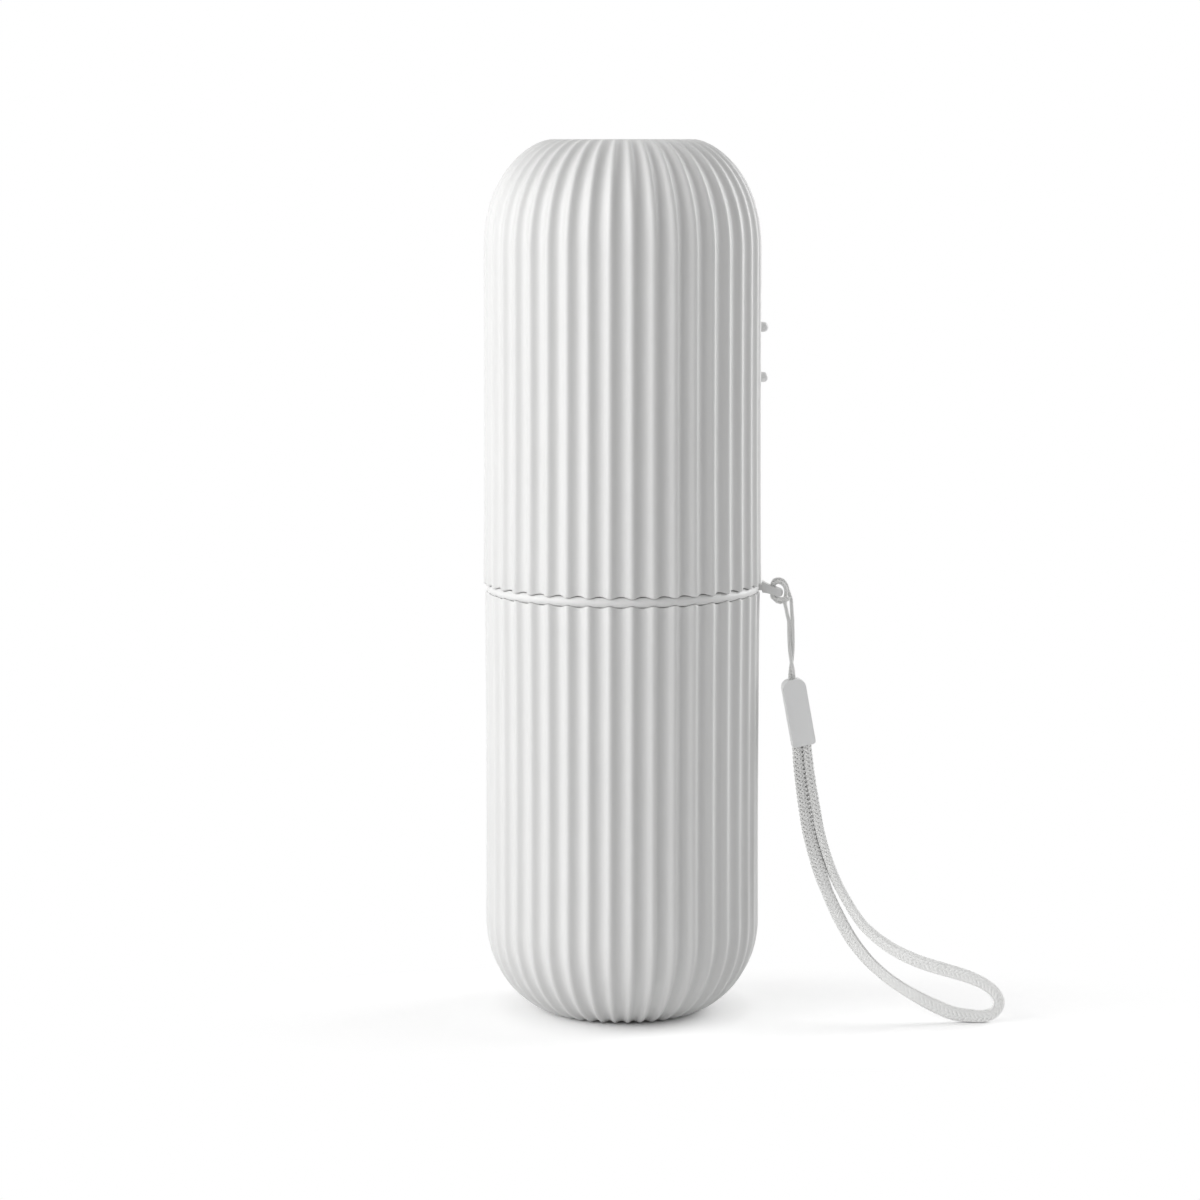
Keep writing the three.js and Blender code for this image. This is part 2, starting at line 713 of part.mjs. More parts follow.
function wristStrap() {
  const route = STRAP_ROUTE.map((point) => new THREE.Vector3(...point));
  return tube(route, STRAP_WIDTH / 2, STRAP_THICKNESS / 2, STRAP_STEPS);
}

// Buttons
const flangeOut = Math.sqrt(BORE ** 2 - BUTTON_FLANGE_RADIUS ** 2) - GAP;
const flangeIn = flangeOut - BUTTON_FLANGE;

function button(height) {
  const tip = CASE_RADIUS + BUTTON_PROUD;
  const domeStart = tip - BUTTON_DOME;
  const outline = [
    [0, flangeIn],
    [BUTTON_FLANGE_RADIUS, flangeIn],
    [BUTTON_FLANGE_RADIUS, flangeOut],
    [BUTTON_RADIUS, flangeOut],
    [BUTTON_RADIUS, domeStart],
  ];
  for (const share of BUTTON_DOME_SHARES) {
    const turn = share * quarterTurn;
    outline.push([BUTTON_RADIUS * Math.cos(turn), domeStart + BUTTON_DOME * Math.sin(turn)]);
  }
  outline.push([0, tip]);
  return revolvedAlongX(outline, height, BUTTON_SEGMENTS);
}

// Light module: places along X follow each other from the open face outward
const podFloor = BORE - POD_BACK;
const podTop = CASE_HEIGHT - CAP_SHOULDER - POD_HEADROOM;
const podBottom = podTop - POD_LENGTH;
const coverOut = podFace - GAP;
const coverIn = coverOut - COVER_THICKNESS;
const cellIn = podFace + CONTACT_THICKNESS + GAP;
const boardIn = cellIn + CELL_THICKNESS + GAP;
const boardOut = boardIn + BOARD_THICKNESS;
const switchIn = boardOut + GAP;
const plungerTip = flangeIn - BUTTON_TRAVEL - PLUNGER_CLEARANCE;
const pocketHalfWidth = POD_HALF_WIDTH - POD_WALL;
const pocketBottom = podBottom + POD_WALL;
const pocketTop = podTop - POD_WALL;
const boardBottom = podBottom + SCREW_INSET + BOSS_RADIUS + BOARD_MARGIN;
const boardTop = podTop - SCREW_INSET - BOSS_RADIUS - BOARD_MARGIN;
const cellHeight = boardBottom + CELL_RADIUS;
const windowTop = boardTop;
const windowBottom = windowTop - WINDOW_LENGTH;
const windowMiddle = (windowTop + windowBottom) / 2;
const screwHeights = [podBottom + SCREW_INSET, podTop - SCREW_INSET];
const screwY = POD_HALF_WIDTH - SCREW_INSET;
const screwPlaces = screwHeights.flatMap((height) => [-screwY, screwY].map((y) => ({ y, height })));

function podHousing() {
  const inside = BORE - GAP;
  const round = revolved([[0, podBottom], [inside, podBottom], [inside, podTop], [0, podTop]]);
  const blank = common(round, block(podFace, CASE_RADIUS, POD_HALF_WIDTH, podBottom, podTop));
  const pocket = block(podFace - OVERRUN, podFloor, pocketHalfWidth, pocketBottom, pocketTop);
  const flangeBores = buttonHeights.map((height) =>
    rodAlongX(BUTTON_FLANGE_RADIUS + GAP, podFace, CASE_RADIUS, height),
  );
  const bosses = screwPlaces.map(({ y, height }) =>
    rodAlongX(BOSS_RADIUS, podFace, podFloor + GAP, height).translate(0, y, 0),
  );
  const postY = pocketHalfWidth - BOARD_MARGIN - POST_RADIUS;
  const posts = [boardBottom, boardTop].flatMap((height) => {
    const inward = height === boardBottom ? POST_RADIUS : -POST_RADIUS;
    return [-postY, postY].map((y) =>
      rodAlongX(POST_RADIUS, switchIn, podFloor + GAP, height + inward).translate(0, y, 0),
    );
  });
  const screwBores = screwPlaces.map(({ y, height }) =>
    rodAlongX(SCREW_RADIUS + GAP, podFace - OVERRUN, podFace + BOSS_DEPTH, height).translate(0, y, 0),
  );
  return cut(join(cut(blank, pocket, ...flangeBores), ...bosses, ...posts), ...screwBores);
}

// A flat plate with rounded corners that faces the axis of the case
function roundedPlate(halfWidth, bottom, top, corner, thickness) {
  const outline = new THREE.Shape();
  outline.moveTo(-halfWidth, bottom + corner);
  outline.absarc(corner - halfWidth, bottom + corner, corner, Math.PI, 1.5 * Math.PI, false);
  outline.absarc(halfWidth - corner, bottom + corner, corner, -quarterTurn, 0, false);
  outline.absarc(halfWidth - corner, top - corner, corner, 0, quarterTurn, false);
  outline.absarc(corner - halfWidth, top - corner, corner, quarterTurn, Math.PI, false);
  const plate = new THREE.ExtrudeGeometry(outline, {
    depth: thickness,
    bevelEnabled: false,
    curveSegments: PLATE_STEPS,
  });
  return plate.rotateX(quarterTurn).rotateZ(quarterTurn);
}

function podCover() {
  const plate = roundedPlate(POD_HALF_WIDTH, podBottom, podTop, POD_EDGE, COVER_THICKNESS);
  plate.translate(coverIn, 0, 0);
  const seat = block(
    coverOut - WINDOW_THICKNESS - GAP,
    coverOut + OVERRUN,
    WINDOW_HALF_WIDTH + GAP,
    windowBottom - GAP,
    windowTop + GAP,
  );
  const light = block(
    coverIn - OVERRUN,
    coverOut,
    WINDOW_HALF_WIDTH - WINDOW_LIP,
    windowBottom + WINDOW_LIP,
    windowTop - WINDOW_LIP,
  );
  const bores = screwPlaces.map(({ y, height }) =>
    rodAlongX(SCREW_RADIUS + GAP, coverIn - OVERRUN, coverOut + OVERRUN, height).translate(0, y, 0),
  );
  return cut(plate, seat, light, ...bores);
}

function podWindow() {
  const pane = roundedPlate(WINDOW_HALF_WIDTH, windowBottom, windowTop, WINDOW_LIP, WINDOW_THICKNESS);
  return pane.translate(coverOut - WINDOW_THICKNESS, 0, 0);
}

function circuitBoard() {
  const halfWidth = pocketHalfWidth - BOARD_MARGIN;
  const board = roundedPlate(halfWidth, boardBottom, boardTop, WINDOW_LIP, BOARD_THICKNESS);
  return board.translate(boardIn, 0, 0);
}

function tactSwitch(height) {
  const half = SWITCH_SIZE / 2;
  const body = block(switchIn, switchIn + SWITCH_THICKNESS, half, height - half, height + half);
  return join(body, rodAlongX(PLUNGER_RADIUS, switchIn, plungerTip, height));
}

function lightEmitter(index) {
  const fromMiddle = index - (EMITTER_COUNT - 1) / 2;
  const height = windowMiddle + fromMiddle * EMITTER_PITCH;
  const half = EMITTER_SIZE / 2;
  const out = boardIn - GAP;
  const body = block(out - EMITTER_THICKNESS, out, half, height - half, height + half);
  const dome = rodAlongX(EMITTER_DOME, out - EMITTER_THICKNESS - EMITTER_DOME / 2, out, height);
  return join(body, dome);
}

function coinCell() {
  const out = cellIn + CELL_THICKNESS;
  return revolvedAlongX(
    [
      [0, cellIn],
      [CELL_RADIUS - 2 * CELL_STEP, cellIn],
      [CELL_RADIUS - CELL_STEP, cellIn + CELL_STEP],
      [CELL_RADIUS, cellIn + 2 * CELL_STEP],
      [CELL_RADIUS, out],
      [0, out],
    ],
    cellHeight,
    2 * SMALL_SEGMENTS,
  );
}

function cellContact() {
  const half = CONTACT_WIDTH / 2;
  const low = cellHeight - CELL_RADIUS;
  const high = cellHeight + CELL_RADIUS;
  const strip = roundedPlate(half, low, high, half / 2, CONTACT_THICKNESS);
  const hole = rodAlongX(CONTACT_HOLE_RADIUS, podFace - OVERRUN, podFace + OVERRUN, cellHeight);
  return cut(strip.translate(podFace, 0, 0), hole);
}

function podScrew({ y, height }) {
  const underHead = coverIn - GAP;
  const top = underHead - SCREW_HEAD;
  const blank = revolvedAlongX(
    [
      [0, top],
      [SCREW_HEAD_RADIUS - SCREW_SLOT, top],
      [SCREW_HEAD_RADIUS, top + SCREW_SLOT],
      [SCREW_HEAD_RADIUS, underHead],
      [SCREW_RADIUS, underHead],
      [SCREW_RADIUS, underHead + SCREW_LENGTH],
      [0, underHead + SCREW_LENGTH + SCREW_RADIUS],
    ],
    height,
    SMALL_SEGMENTS,
  );
  const slot = block(top - OVERRUN, top + SCREW_SLOT, SCREW_SLOT / 2, height - OVERRUN, height + OVERRUN);
  return cut(blank, slot).translate(0, y, 0);
}

// Assembly
const toothbrushCase = new THREE.Group();

const body = new THREE.Group();
body.add(
  named("body_shell", shell(bodyHalf, -1), caseWhite()),
  named("body_liner", bodyLiner(), linerWhite()),
  named("neck_seal", neckSeal(), sealGrey()),
  named("drip_pad", dripPad(), padGrey()),
  named("brush_divider", brushDivider(), linerWhite()),
);

const strap = new THREE.Group();
strap.add(
  named("strap_ring", strapRing(), ringWhite()),
  named("hitch_string", hitchString(), strapWhite()),
  named("strap_clamp", strapClamp(), clampGrey()),
  named("wrist_strap", wristStrap(), strapWhite()),
);

const lightModule = new THREE.Group();
lightModule.add(
  named("pod_housing", podHousing(), podWhite()),
  named("pod_cover", podCover(), podWhite()),
  named("pod_window", podWindow(), windowClear()),
  named("circuit_board", circuitBoard(), boardGreen()),
  named("coin_cell", coinCell(), steel()),
  named("cell_contact", cellContact(), steel()),
  named("upper_switch", tactSwitch(upperButtonHeight), switchBlack()),
  named("lower_switch", tactSwitch(lowerButtonHeight), switchBlack()),
);
for (let index = 0; index < EMITTER_COUNT; index += 1) {
  lightModule.add(named(`light_emitter_${index + 1}`, lightEmitter(index), emitterYellow()));
}
screwPlaces.forEach((place, index) => {
  lightModule.add(named(`pod_screw_${index + 1}`, podScrew(place), steel()));
});

const cap = new THREE.Group();
cap.add(
  named("cap_shell", capShell(), caseWhite()),
  lightModule,
  named("upper_button", button(upperButtonHeight), buttonWhite()),
  named("lower_button", button(lowerButtonHeight), buttonWhite()),
);

toothbrushCase.add(body, strap, cap);

export default toothbrushCase;
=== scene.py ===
import json
import math

import bmesh
import bpy
import numpy as np
from mathutils import Matrix, Vector


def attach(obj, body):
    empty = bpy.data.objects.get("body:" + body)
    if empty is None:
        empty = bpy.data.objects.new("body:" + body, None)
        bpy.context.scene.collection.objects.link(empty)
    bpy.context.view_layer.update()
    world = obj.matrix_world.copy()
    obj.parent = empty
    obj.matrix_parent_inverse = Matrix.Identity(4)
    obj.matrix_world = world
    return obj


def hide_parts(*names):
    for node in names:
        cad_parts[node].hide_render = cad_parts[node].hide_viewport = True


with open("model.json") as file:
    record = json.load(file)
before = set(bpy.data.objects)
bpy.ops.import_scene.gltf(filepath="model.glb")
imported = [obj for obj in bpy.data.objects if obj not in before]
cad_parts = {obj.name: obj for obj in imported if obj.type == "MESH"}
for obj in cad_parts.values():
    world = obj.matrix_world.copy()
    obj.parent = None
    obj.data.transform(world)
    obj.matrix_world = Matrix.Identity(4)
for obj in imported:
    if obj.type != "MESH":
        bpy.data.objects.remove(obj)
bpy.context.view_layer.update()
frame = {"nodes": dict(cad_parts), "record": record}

MM = 0.001

# Sizes of the case, in millimetres, as in the part's source
RING_HEIGHT = 102.9
CAP_HEIGHT = 106.5
CASE_RADIUS = 32.98
WALL = 3.38
BORE = CASE_RADIUS - WALL
GAP = 0.3
RIB_COUNT = 40
RIB_DEPTH = 1.15
RIDGE_SHARE = 0.36
FADE_SHARE = 0.5
FLAT_MARGIN = 1.2
RIM_TIP = 0.86
RIM_VALLEY = 1.3
RIM_ROUND = 0.4
SEAT_LIFT = 1.5
SEAT_INSET = 1.88
SEAT_RADIUS = CASE_RADIUS - SEAT_INSET
CAP_FLARE = 0.35
BODY_WAIST = 0.14
CAP_HALF = {
    "up": 1, "length": CAP_HEIGHT, "shoulder": 26.8, "flat": 16.9, "round": (1.25, 0.85),
    "rib_end": 0.1, "end": 2.6, "swell": lambda share: CAP_FLARE * (1 - share) ** 3,
}
BODY_HALF = {
    "up": -1, "length": RING_HEIGHT, "shoulder": 22.9, "flat": 17.3, "round": (1.3, 0.92),
    "rib_end": 0.4, "end": 2.4, "swell": lambda share: -BODY_WAIST * 4 * share * (1 - share),
}

# Camera, solved from the outline of the case in the photograph
FOCAL_PX = 3676.85
PHOTO_WIDTH_PX = 1200
SENSOR_MM = 36.0
CAMERA_PLACE = (-5.39, -876.18, 208.68)
CAMERA_PITCH_DEG = 7.0965
CAMERA_TURN_DEG = 0.88


def add_camera():
    camera = bpy.data.cameras.new("camera")
    camera.lens = FOCAL_PX / PHOTO_WIDTH_PX * SENSOR_MM
    camera.sensor_width = SENSOR_MM
    camera.clip_start = 0.01
    camera.clip_end = 20.0
    obj = bpy.data.objects.new("camera", camera)
    bpy.context.scene.collection.objects.link(obj)
    turn = Matrix.Rotation(math.radians(CAMERA_TURN_DEG), 4, "Z")
    pitch = Matrix.Rotation(math.radians(90 - CAMERA_PITCH_DEG), 4, "X")
    obj.matrix_world = turn @ Matrix.Translation(Vector(CAMERA_PLACE) * MM) @ pitch
    bpy.context.scene.camera = obj


# Meshes
def link(obj):
    bpy.context.scene.collection.objects.link(obj)
    return obj


def new_object(name, vertices_mm, faces):
    mesh = bpy.data.meshes.new(name)
    mesh.from_pydata((np.asarray(vertices_mm, float) * MM).tolist(), [], faces)
    mesh.validate()
    mesh.polygons.foreach_set("use_smooth", [True] * len(mesh.polygons))
    mesh.update()
    return link(bpy.data.objects.new(name, mesh))


def face_outward(obj):
    mesh = bmesh.new()
    mesh.from_mesh(obj.data)
    bmesh.ops.recalc_face_normals(mesh, faces=mesh.faces)
    mesh.to_mesh(obj.data)
    mesh.free()
    return obj


def grid_faces(rows, columns, first=0, closed=False):
    """Quads between rings of vertices, each ring closed round itself."""
    faces = []
    for i in range(rows if closed else rows - 1):
        low, high = first + i * columns, first + ((i + 1) % rows) * columns
        for k in range(columns):
            n = (k + 1) % columns
            faces.append((low + k, low + n, high + n, high + k))
    return faces


def capped_stack(rings, first=0):
    """Vertices and faces of rings of points (rows x columns x 3), with a fan at each end."""
    rows, columns, _ = rings.shape
    vertices = np.vstack([rings.reshape(-1, 3), rings[0].mean(0), rings[-1].mean(0)])
    faces = grid_faces(rows, columns, first)
    top = first + (rows - 1) * columns
    start, end = first + rows * columns, first + rows * columns + 1
    faces += [(start, first + (k + 1) % columns, first + k) for k in range(columns)]
    faces += [(end, top + k, top + (k + 1) % columns) for k in range(columns)]
    return vertices, faces


def ring_stack(name, rings):
    return face_outward(new_object(name, *capped_stack(rings)))


def revolve(name, outline, segments, closed=False):
    """A revolved mesh round Z from (radius, height) pairs, in millimetres."""
    angle = np.linspace(0, 2 * math.pi, segments, endpoint=False)
    rings = np.array([
        np.stack([r * np.cos(angle), r * np.sin(angle), np.full(segments, z)], axis=1) for r, z in outline
    ])
    if closed:
        faces = grid_faces(len(outline), segments, closed=True)
        return face_outward(new_object(name, rings.reshape(-1, 3), faces))
    return ring_stack(name, rings)


def arc(centre, radius, start_deg, end_deg, steps):
    """Points of an arc round a centre; radius is one number, or one along each axis."""
    wide, high = radius if isinstance(radius, tuple) else (radius, radius)
    turn = np.radians(np.linspace(start_deg, end_deg, steps + 1))
    return [(centre[0] + wide * math.cos(t), centre[1] + high * math.sin(t)) for t in turn]


def circle(centre, radius, points):
    return arc(centre, radius, 0, 360 - 360 / points, points - 1)


def prism(name, outline, depth, place):
    """A prism from an outline; place(u, v, w) gives the point for w from -depth / 2 to depth / 2."""
    count = len(outline)
    vertices = [place(u, v, w) for w in (-depth / 2, depth / 2) for u, v in outline]
    faces = [tuple(range(count)), tuple(range(2 * count - 1, count - 1, -1))]
    faces += [(k, count + k, count + (k + 1) % count, (k + 1) % count) for k in range(count)]
    return face_outward(new_object(name, vertices, faces))


def apply_modifiers(obj):
    depsgraph = bpy.context.evaluated_depsgraph_get()
    done = bpy.data.meshes.new_from_object(obj.evaluated_get(depsgraph))
    obj.modifiers.clear()
    obj.data = done
    return obj


def combine(obj, tool, operation):
    """Joins, cuts or intersects a mesh with another, which is used up."""
    modifier = obj.modifiers.new("combine", "BOOLEAN")
    modifier.operation = operation
    modifier.solver = "EXACT"
    modifier.object = tool
    apply_modifiers(obj)
    bpy.data.objects.remove(tool)
    return obj


def melt(obj, voxel_mm, passes):
    """Softens all edges of a small moulded piece."""
    remesh = obj.modifiers.new("skin", "REMESH")
    remesh.mode = "VOXEL"
    remesh.voxel_size = voxel_mm * MM
    soften = obj.modifiers.new("soften", "SMOOTH")
    soften.factor = 0.5
    soften.iterations = passes
    apply_modifiers(obj)
    obj.data.polygons.foreach_set("use_smooth", [True] * len(obj.data.polygons))
    return obj


def keep_corners(obj, angle_deg=38):
    """Smooth shading that keeps corners sharper than an angle."""
    mesh = bmesh.new()
    mesh.from_mesh(obj.data)
    for edge in mesh.edges:
        edge.smooth = not (edge.is_manifold and edge.calc_face_angle(0) > math.radians(angle_deg))
    mesh.to_mesh(obj.data)
    mesh.free()
    return obj


# Materials. Painted shade darkens the colour in each crevice within a reach in millimetres, down to a share
# of the colour, between two shares of open view. The scales of patterns are per metre, and a gloss pair is
# added to the roughness.
CREVICE_REACH = 1.0
CREVICE_SHADE = 0.25
CREVICE_SHARES = (0.02, 0.36)
SEAM_SHARES = (0.02, 0.4)
CLOUD_SCALE = 45.0
CLOUD_GLOSS = (-0.04, 0.05)
FIBRE_SCALE = 2600.0
FIBRE_SHARE = 0.6
YARN_CLOUD_SCALE = 220.0
BRUSH_SCALE = 300.0
BRUSH_STRETCH = (1, 40, 1)
BRUSH_GLOSS = (-0.08, 0.1)
HAZE_SCALE = 90.0
PORE_SCALE = 1800.0
TRACK_SCALE = 420.0
# The case and ring plastics get painted shade in their seams.
MOULDED_LOOKS = {
    "case_plastic": {"colour": (0.72, 0.72, 0.715), "roughness": 0.42, "paint_seam_shade": True},
    "liner_plastic": {"colour": (0.84, 0.84, 0.83), "roughness": 0.4},
    "seal_silicone": {"colour": (0.55, 0.57, 0.6), "roughness": 0.6, "grain_mm": 0.4, "grain": 0.08},
    "ring_plastic": {"colour": (0.77, 0.77, 0.765), "roughness": 0.4, "grain_mm": 0.5, "grain": 0.05,
                     "specular": 0.3, "paint_seam_shade": True},
    # The clamp is white plastic, set lighter than the case's white as painted light, to make up for the
    # case's shadow over it.
    "clamp_plastic": {"colour": (0.9, 0.905, 0.905), "roughness": 0.45, "grain_mm": 0.2, "shade": 0.03},
    "pod_plastic": {"colour": (0.68, 0.69, 0.7), "roughness": 0.45, "grain_mm": 0.2, "grain": 0.15},
    "switch_plastic": {"colour": (0.03, 0.03, 0.03), "roughness": 0.45, "grain_mm": 0.2, "grain": 0.15,
                       "shade": 0.3},
    "emitter_resin": {"colour": (0.75, 0.7, 0.42), "roughness": 0.2, "grain_mm": 0.3, "grain": 0.05,
                      "shade": 0.1},
    # The buttons are pale plastic, set lighter than the case's white as painted light, to make up for the
    # shade on their side of the case.
    "button_plastic": {"colour": (0.86, 0.86, 0.855), "roughness": 0.45},
}


def material(name, roughness, metallic=0.0, specular=0.5):
    made = bpy.data.materials.new(name)
    made.use_nodes = True
    nodes = made.node_tree.nodes
    shader = nodes["Principled BSDF"]
    shader.inputs["Roughness"].default_value = roughness
    shader.inputs["Metallic"].default_value = metallic
    shader.inputs["Specular IOR Level"].default_value = specular
    return made, nodes, made.node_tree.links, shader


def object_place(nodes):
    return nodes.new("ShaderNodeTexCoord").outputs["Object"]


def math_node(nodes, links, operation, first, second):
    node = nodes.new("ShaderNodeMath")
    node.operation = operation
    for socket, value in zip(node.inputs, (first, second)):
        if isinstance(value, (int, float)):
            socket.default_value = value
        else:
            links.new(value, socket)
    return node.outputs["Value"]


def noise(nodes, links, coordinates, scale, detail=4.0, rough=0.5):
    texture = nodes.new("ShaderNodeTexNoise")
    texture.inputs["Scale"].default_value = scale
    texture.inputs["Detail"].default_value = detail
    texture.inputs["Roughness"].default_value = rough
    links.new(coordinates, texture.inputs["Vector"])
    return texture.outputs["Fac"]


def ramp(nodes, links, source, low, high, start=0.3, end=0.7):
    """Maps a grey value to a colour between two colours."""
    node = nodes.new("ShaderNodeValToRGB")
    node.color_ramp.elements[0].position = start
    node.color_ramp.elements[1].position = end
    node.color_ramp.elements[0].color = (*low, 1)
    node.color_ramp.elements[1].color = (*high, 1)
    links.new(source, node.inputs["Fac"])
    return node.outputs["Color"]


def darker(colour, shade):
    return tuple(c * (1 - shade) for c in colour)


def spread(nodes, links, source, low, high):
    """Maps a grey value of 0 to 1 to a number between two numbers."""
    node = nodes.new("ShaderNodeMapRange")
    node.inputs["To Min"].default_value = low
    node.inputs["To Max"].default_value = high
    links.new(source, node.inputs["Value"])
    return node.outputs["Result"]


def bump(nodes, links, shader, source, strength, distance_mm):
    node = nodes.new("ShaderNodeBump")
    node.inputs["Strength"].default_value = strength
    node.inputs["Distance"].default_value = distance_mm * MM
    links.new(source, node.inputs["Height"])
    links.new(node.outputs["Normal"], shader.inputs["Normal"])


def painted_crevice_shade(nodes, links, tone, shares):
    """Paints shade into a colour where the surface faces another one close by, as in a seam or between
    yarns.
    """
    near = nodes.new("ShaderNodeAmbientOcclusion")
    near.inputs["Distance"].default_value = CREVICE_REACH * MM
    shade = ramp(nodes, links, near.outputs["AO"], (CREVICE_SHADE,) * 3, (1, 1, 1), *shares)
    shaded = nodes.new("ShaderNodeVectorMath")
    shaded.operation = "MULTIPLY"
    links.new(tone, shaded.inputs[0])
    links.new(shade, shaded.inputs[1])
    return shaded.outputs["Vector"]


def moulded_plastic(name, colour, roughness, grain_mm=0.25, grain=0.12, shade=0.02, specular=0.5,
                    paint_seam_shade=False):
    """Moulded plastic: a faint cloudiness, a fine spark-eroded grain, uneven gloss and, where asked,
    painted shade in seams.
    """
    made, nodes, links, shader = material(name, roughness, specular=specular)
    place = object_place(nodes)
    cloud = noise(nodes, links, place, CLOUD_SCALE, detail=3.0)
    tone = ramp(nodes, links, cloud, darker(colour, shade), colour)
    # Painted shade in tight seams, as where the ring lies between cap and body.
    if paint_seam_shade:
        tone = painted_crevice_shade(nodes, links, tone, SEAM_SHARES)
    links.new(tone, shader.inputs["Base Color"])
    grains = noise(nodes, links, place, 1.0 / (grain_mm * MM), detail=3.0, rough=0.6)
    links.new(spread(nodes, links, cloud, *(roughness + more for more in CLOUD_GLOSS)),
              shader.inputs["Roughness"])
    bump(nodes, links, shader, grains, grain, distance_mm=0.05)
    return made


def woven(name, colour, shade):
    """Yarn: a fine grain of fibres, a faint cloudiness and painted shade between yarns, over the braid that
    the mesh has.
    """
    made, nodes, links, shader = material(name, 0.85, specular=0.25)
    shader.inputs["Sheen Weight"].default_value = 0.25
    shader.inputs["Sheen Roughness"].default_value = 0.5
    place = object_place(nodes)
    fibre = noise(nodes, links, place, FIBRE_SCALE, rough=0.65)
    cloud = noise(nodes, links, place, YARN_CLOUD_SCALE, detail=3.0)
    blend = math_node(nodes, links, "ADD", math_node(nodes, links, "MULTIPLY", fibre, FIBRE_SHARE),
                      math_node(nodes, links, "MULTIPLY", cloud, 1 - FIBRE_SHARE))
    tone = ramp(nodes, links, blend, darker(colour, shade), colour)
    # Painted shade between yarns and in the groove between the strap's two strands.
    links.new(painted_crevice_shade(nodes, links, tone, CREVICE_SHARES), shader.inputs["Base Color"])
    bump(nodes, links, shader, fibre, 0.35, distance_mm=0.06)
    return made


def brushed_metal(name, colour, roughness):
    made, nodes, links, shader = material(name, roughness, metallic=1.0)
    stretch = nodes.new("ShaderNodeMapping")
    stretch.inputs["Scale"].default_value = BRUSH_STRETCH
    links.new(object_place(nodes), stretch.inputs["Vector"])
    brush = noise(nodes, links, stretch.outputs["Vector"], BRUSH_SCALE, detail=5.0)
    links.new(ramp(nodes, links, brush, darker(colour, 0.15), colour), shader.inputs["Base Color"])
    links.new(spread(nodes, links, brush, *(roughness + more for more in BRUSH_GLOSS)),
              shader.inputs["Roughness"])
    bump(nodes, links, shader, brush, 0.15, distance_mm=0.02)
    return made


def clear_plastic(name):
    made, nodes, links, shader = material(name, 0.06)
    shader.inputs["Transmission Weight"].default_value = 0.92
    shader.inputs["IOR"].default_value = 1.49
    haze = noise(nodes, links, object_place(nodes), HAZE_SCALE)
    links.new(ramp(nodes, links, haze, (0.9, 0.93, 0.95), (0.96, 0.98, 1.0)), shader.inputs["Base Color"])
    links.new(spread(nodes, links, haze, 0.04, 0.1), shader.inputs["Roughness"])
    return made


def porous_pad(name):
    made, nodes, links, shader = material(name, 0.95, specular=0.2)
    pores = noise(nodes, links, object_place(nodes), PORE_SCALE, detail=6.0, rough=0.7)
    links.new(ramp(nodes, links, pores, (0.5, 0.48, 0.44), (0.7, 0.68, 0.63)), shader.inputs["Base Color"])
    bump(nodes, links, shader, pores, 0.6, distance_mm=0.15)
    return made


def board_laminate(name):
    made, nodes, links, shader = material(name, 0.4)
    tracks = nodes.new("ShaderNodeTexBrick")
    tracks.inputs["Scale"].default_value = TRACK_SCALE
    tracks.inputs["Color1"].default_value = (0.03, 0.17, 0.08, 1)
    tracks.inputs["Color2"].default_value = (0.04, 0.2, 0.1, 1)
    tracks.inputs["Mortar"].default_value = (0.06, 0.28, 0.14, 1)
    turn = nodes.new("ShaderNodeMapping")
    turn.inputs["Rotation"].default_value = (0, math.pi / 2, 0)
    links.new(object_place(nodes), turn.inputs["Vector"])
    links.new(turn.outputs["Vector"], tracks.inputs["Vector"])
    links.new(tracks.outputs["Color"], shader.inputs["Base Color"])
    bump(nodes, links, shader, tracks.outputs["Fac"], 0.2, distance_mm=0.03)
    return made


MATERIALS = {name: moulded_plastic(name, **look) for name, look in MOULDED_LOOKS.items()}
MATERIALS.update({
    "pad_mineral": porous_pad("pad_mineral"),
    "string_cord": woven("string_cord", (0.95, 0.95, 0.94), 0.1),
    "strap_braid": woven("strap_braid", (0.96, 0.96, 0.95), 0.08),
    "clear_plastic": clear_plastic("clear_plastic"),
    "board_laminate": board_laminate("board_laminate"),
    "cell_steel": brushed_metal("cell_steel", (0.7, 0.71, 0.72), 0.3),
    "spring_steel": brushed_metal("spring_steel", (0.62, 0.62, 0.61), 0.35),
    "screw_steel": brushed_metal("screw_steel", (0.6, 0.61, 0.62), 0.3),
})


def finish_piece(obj, slot, body, *replaced):
    obj.data.materials.clear()
    obj.data.materials.append(MATERIALS[slot])
    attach(obj, body)
    if replaced:
        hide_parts(*replaced)
    return obj


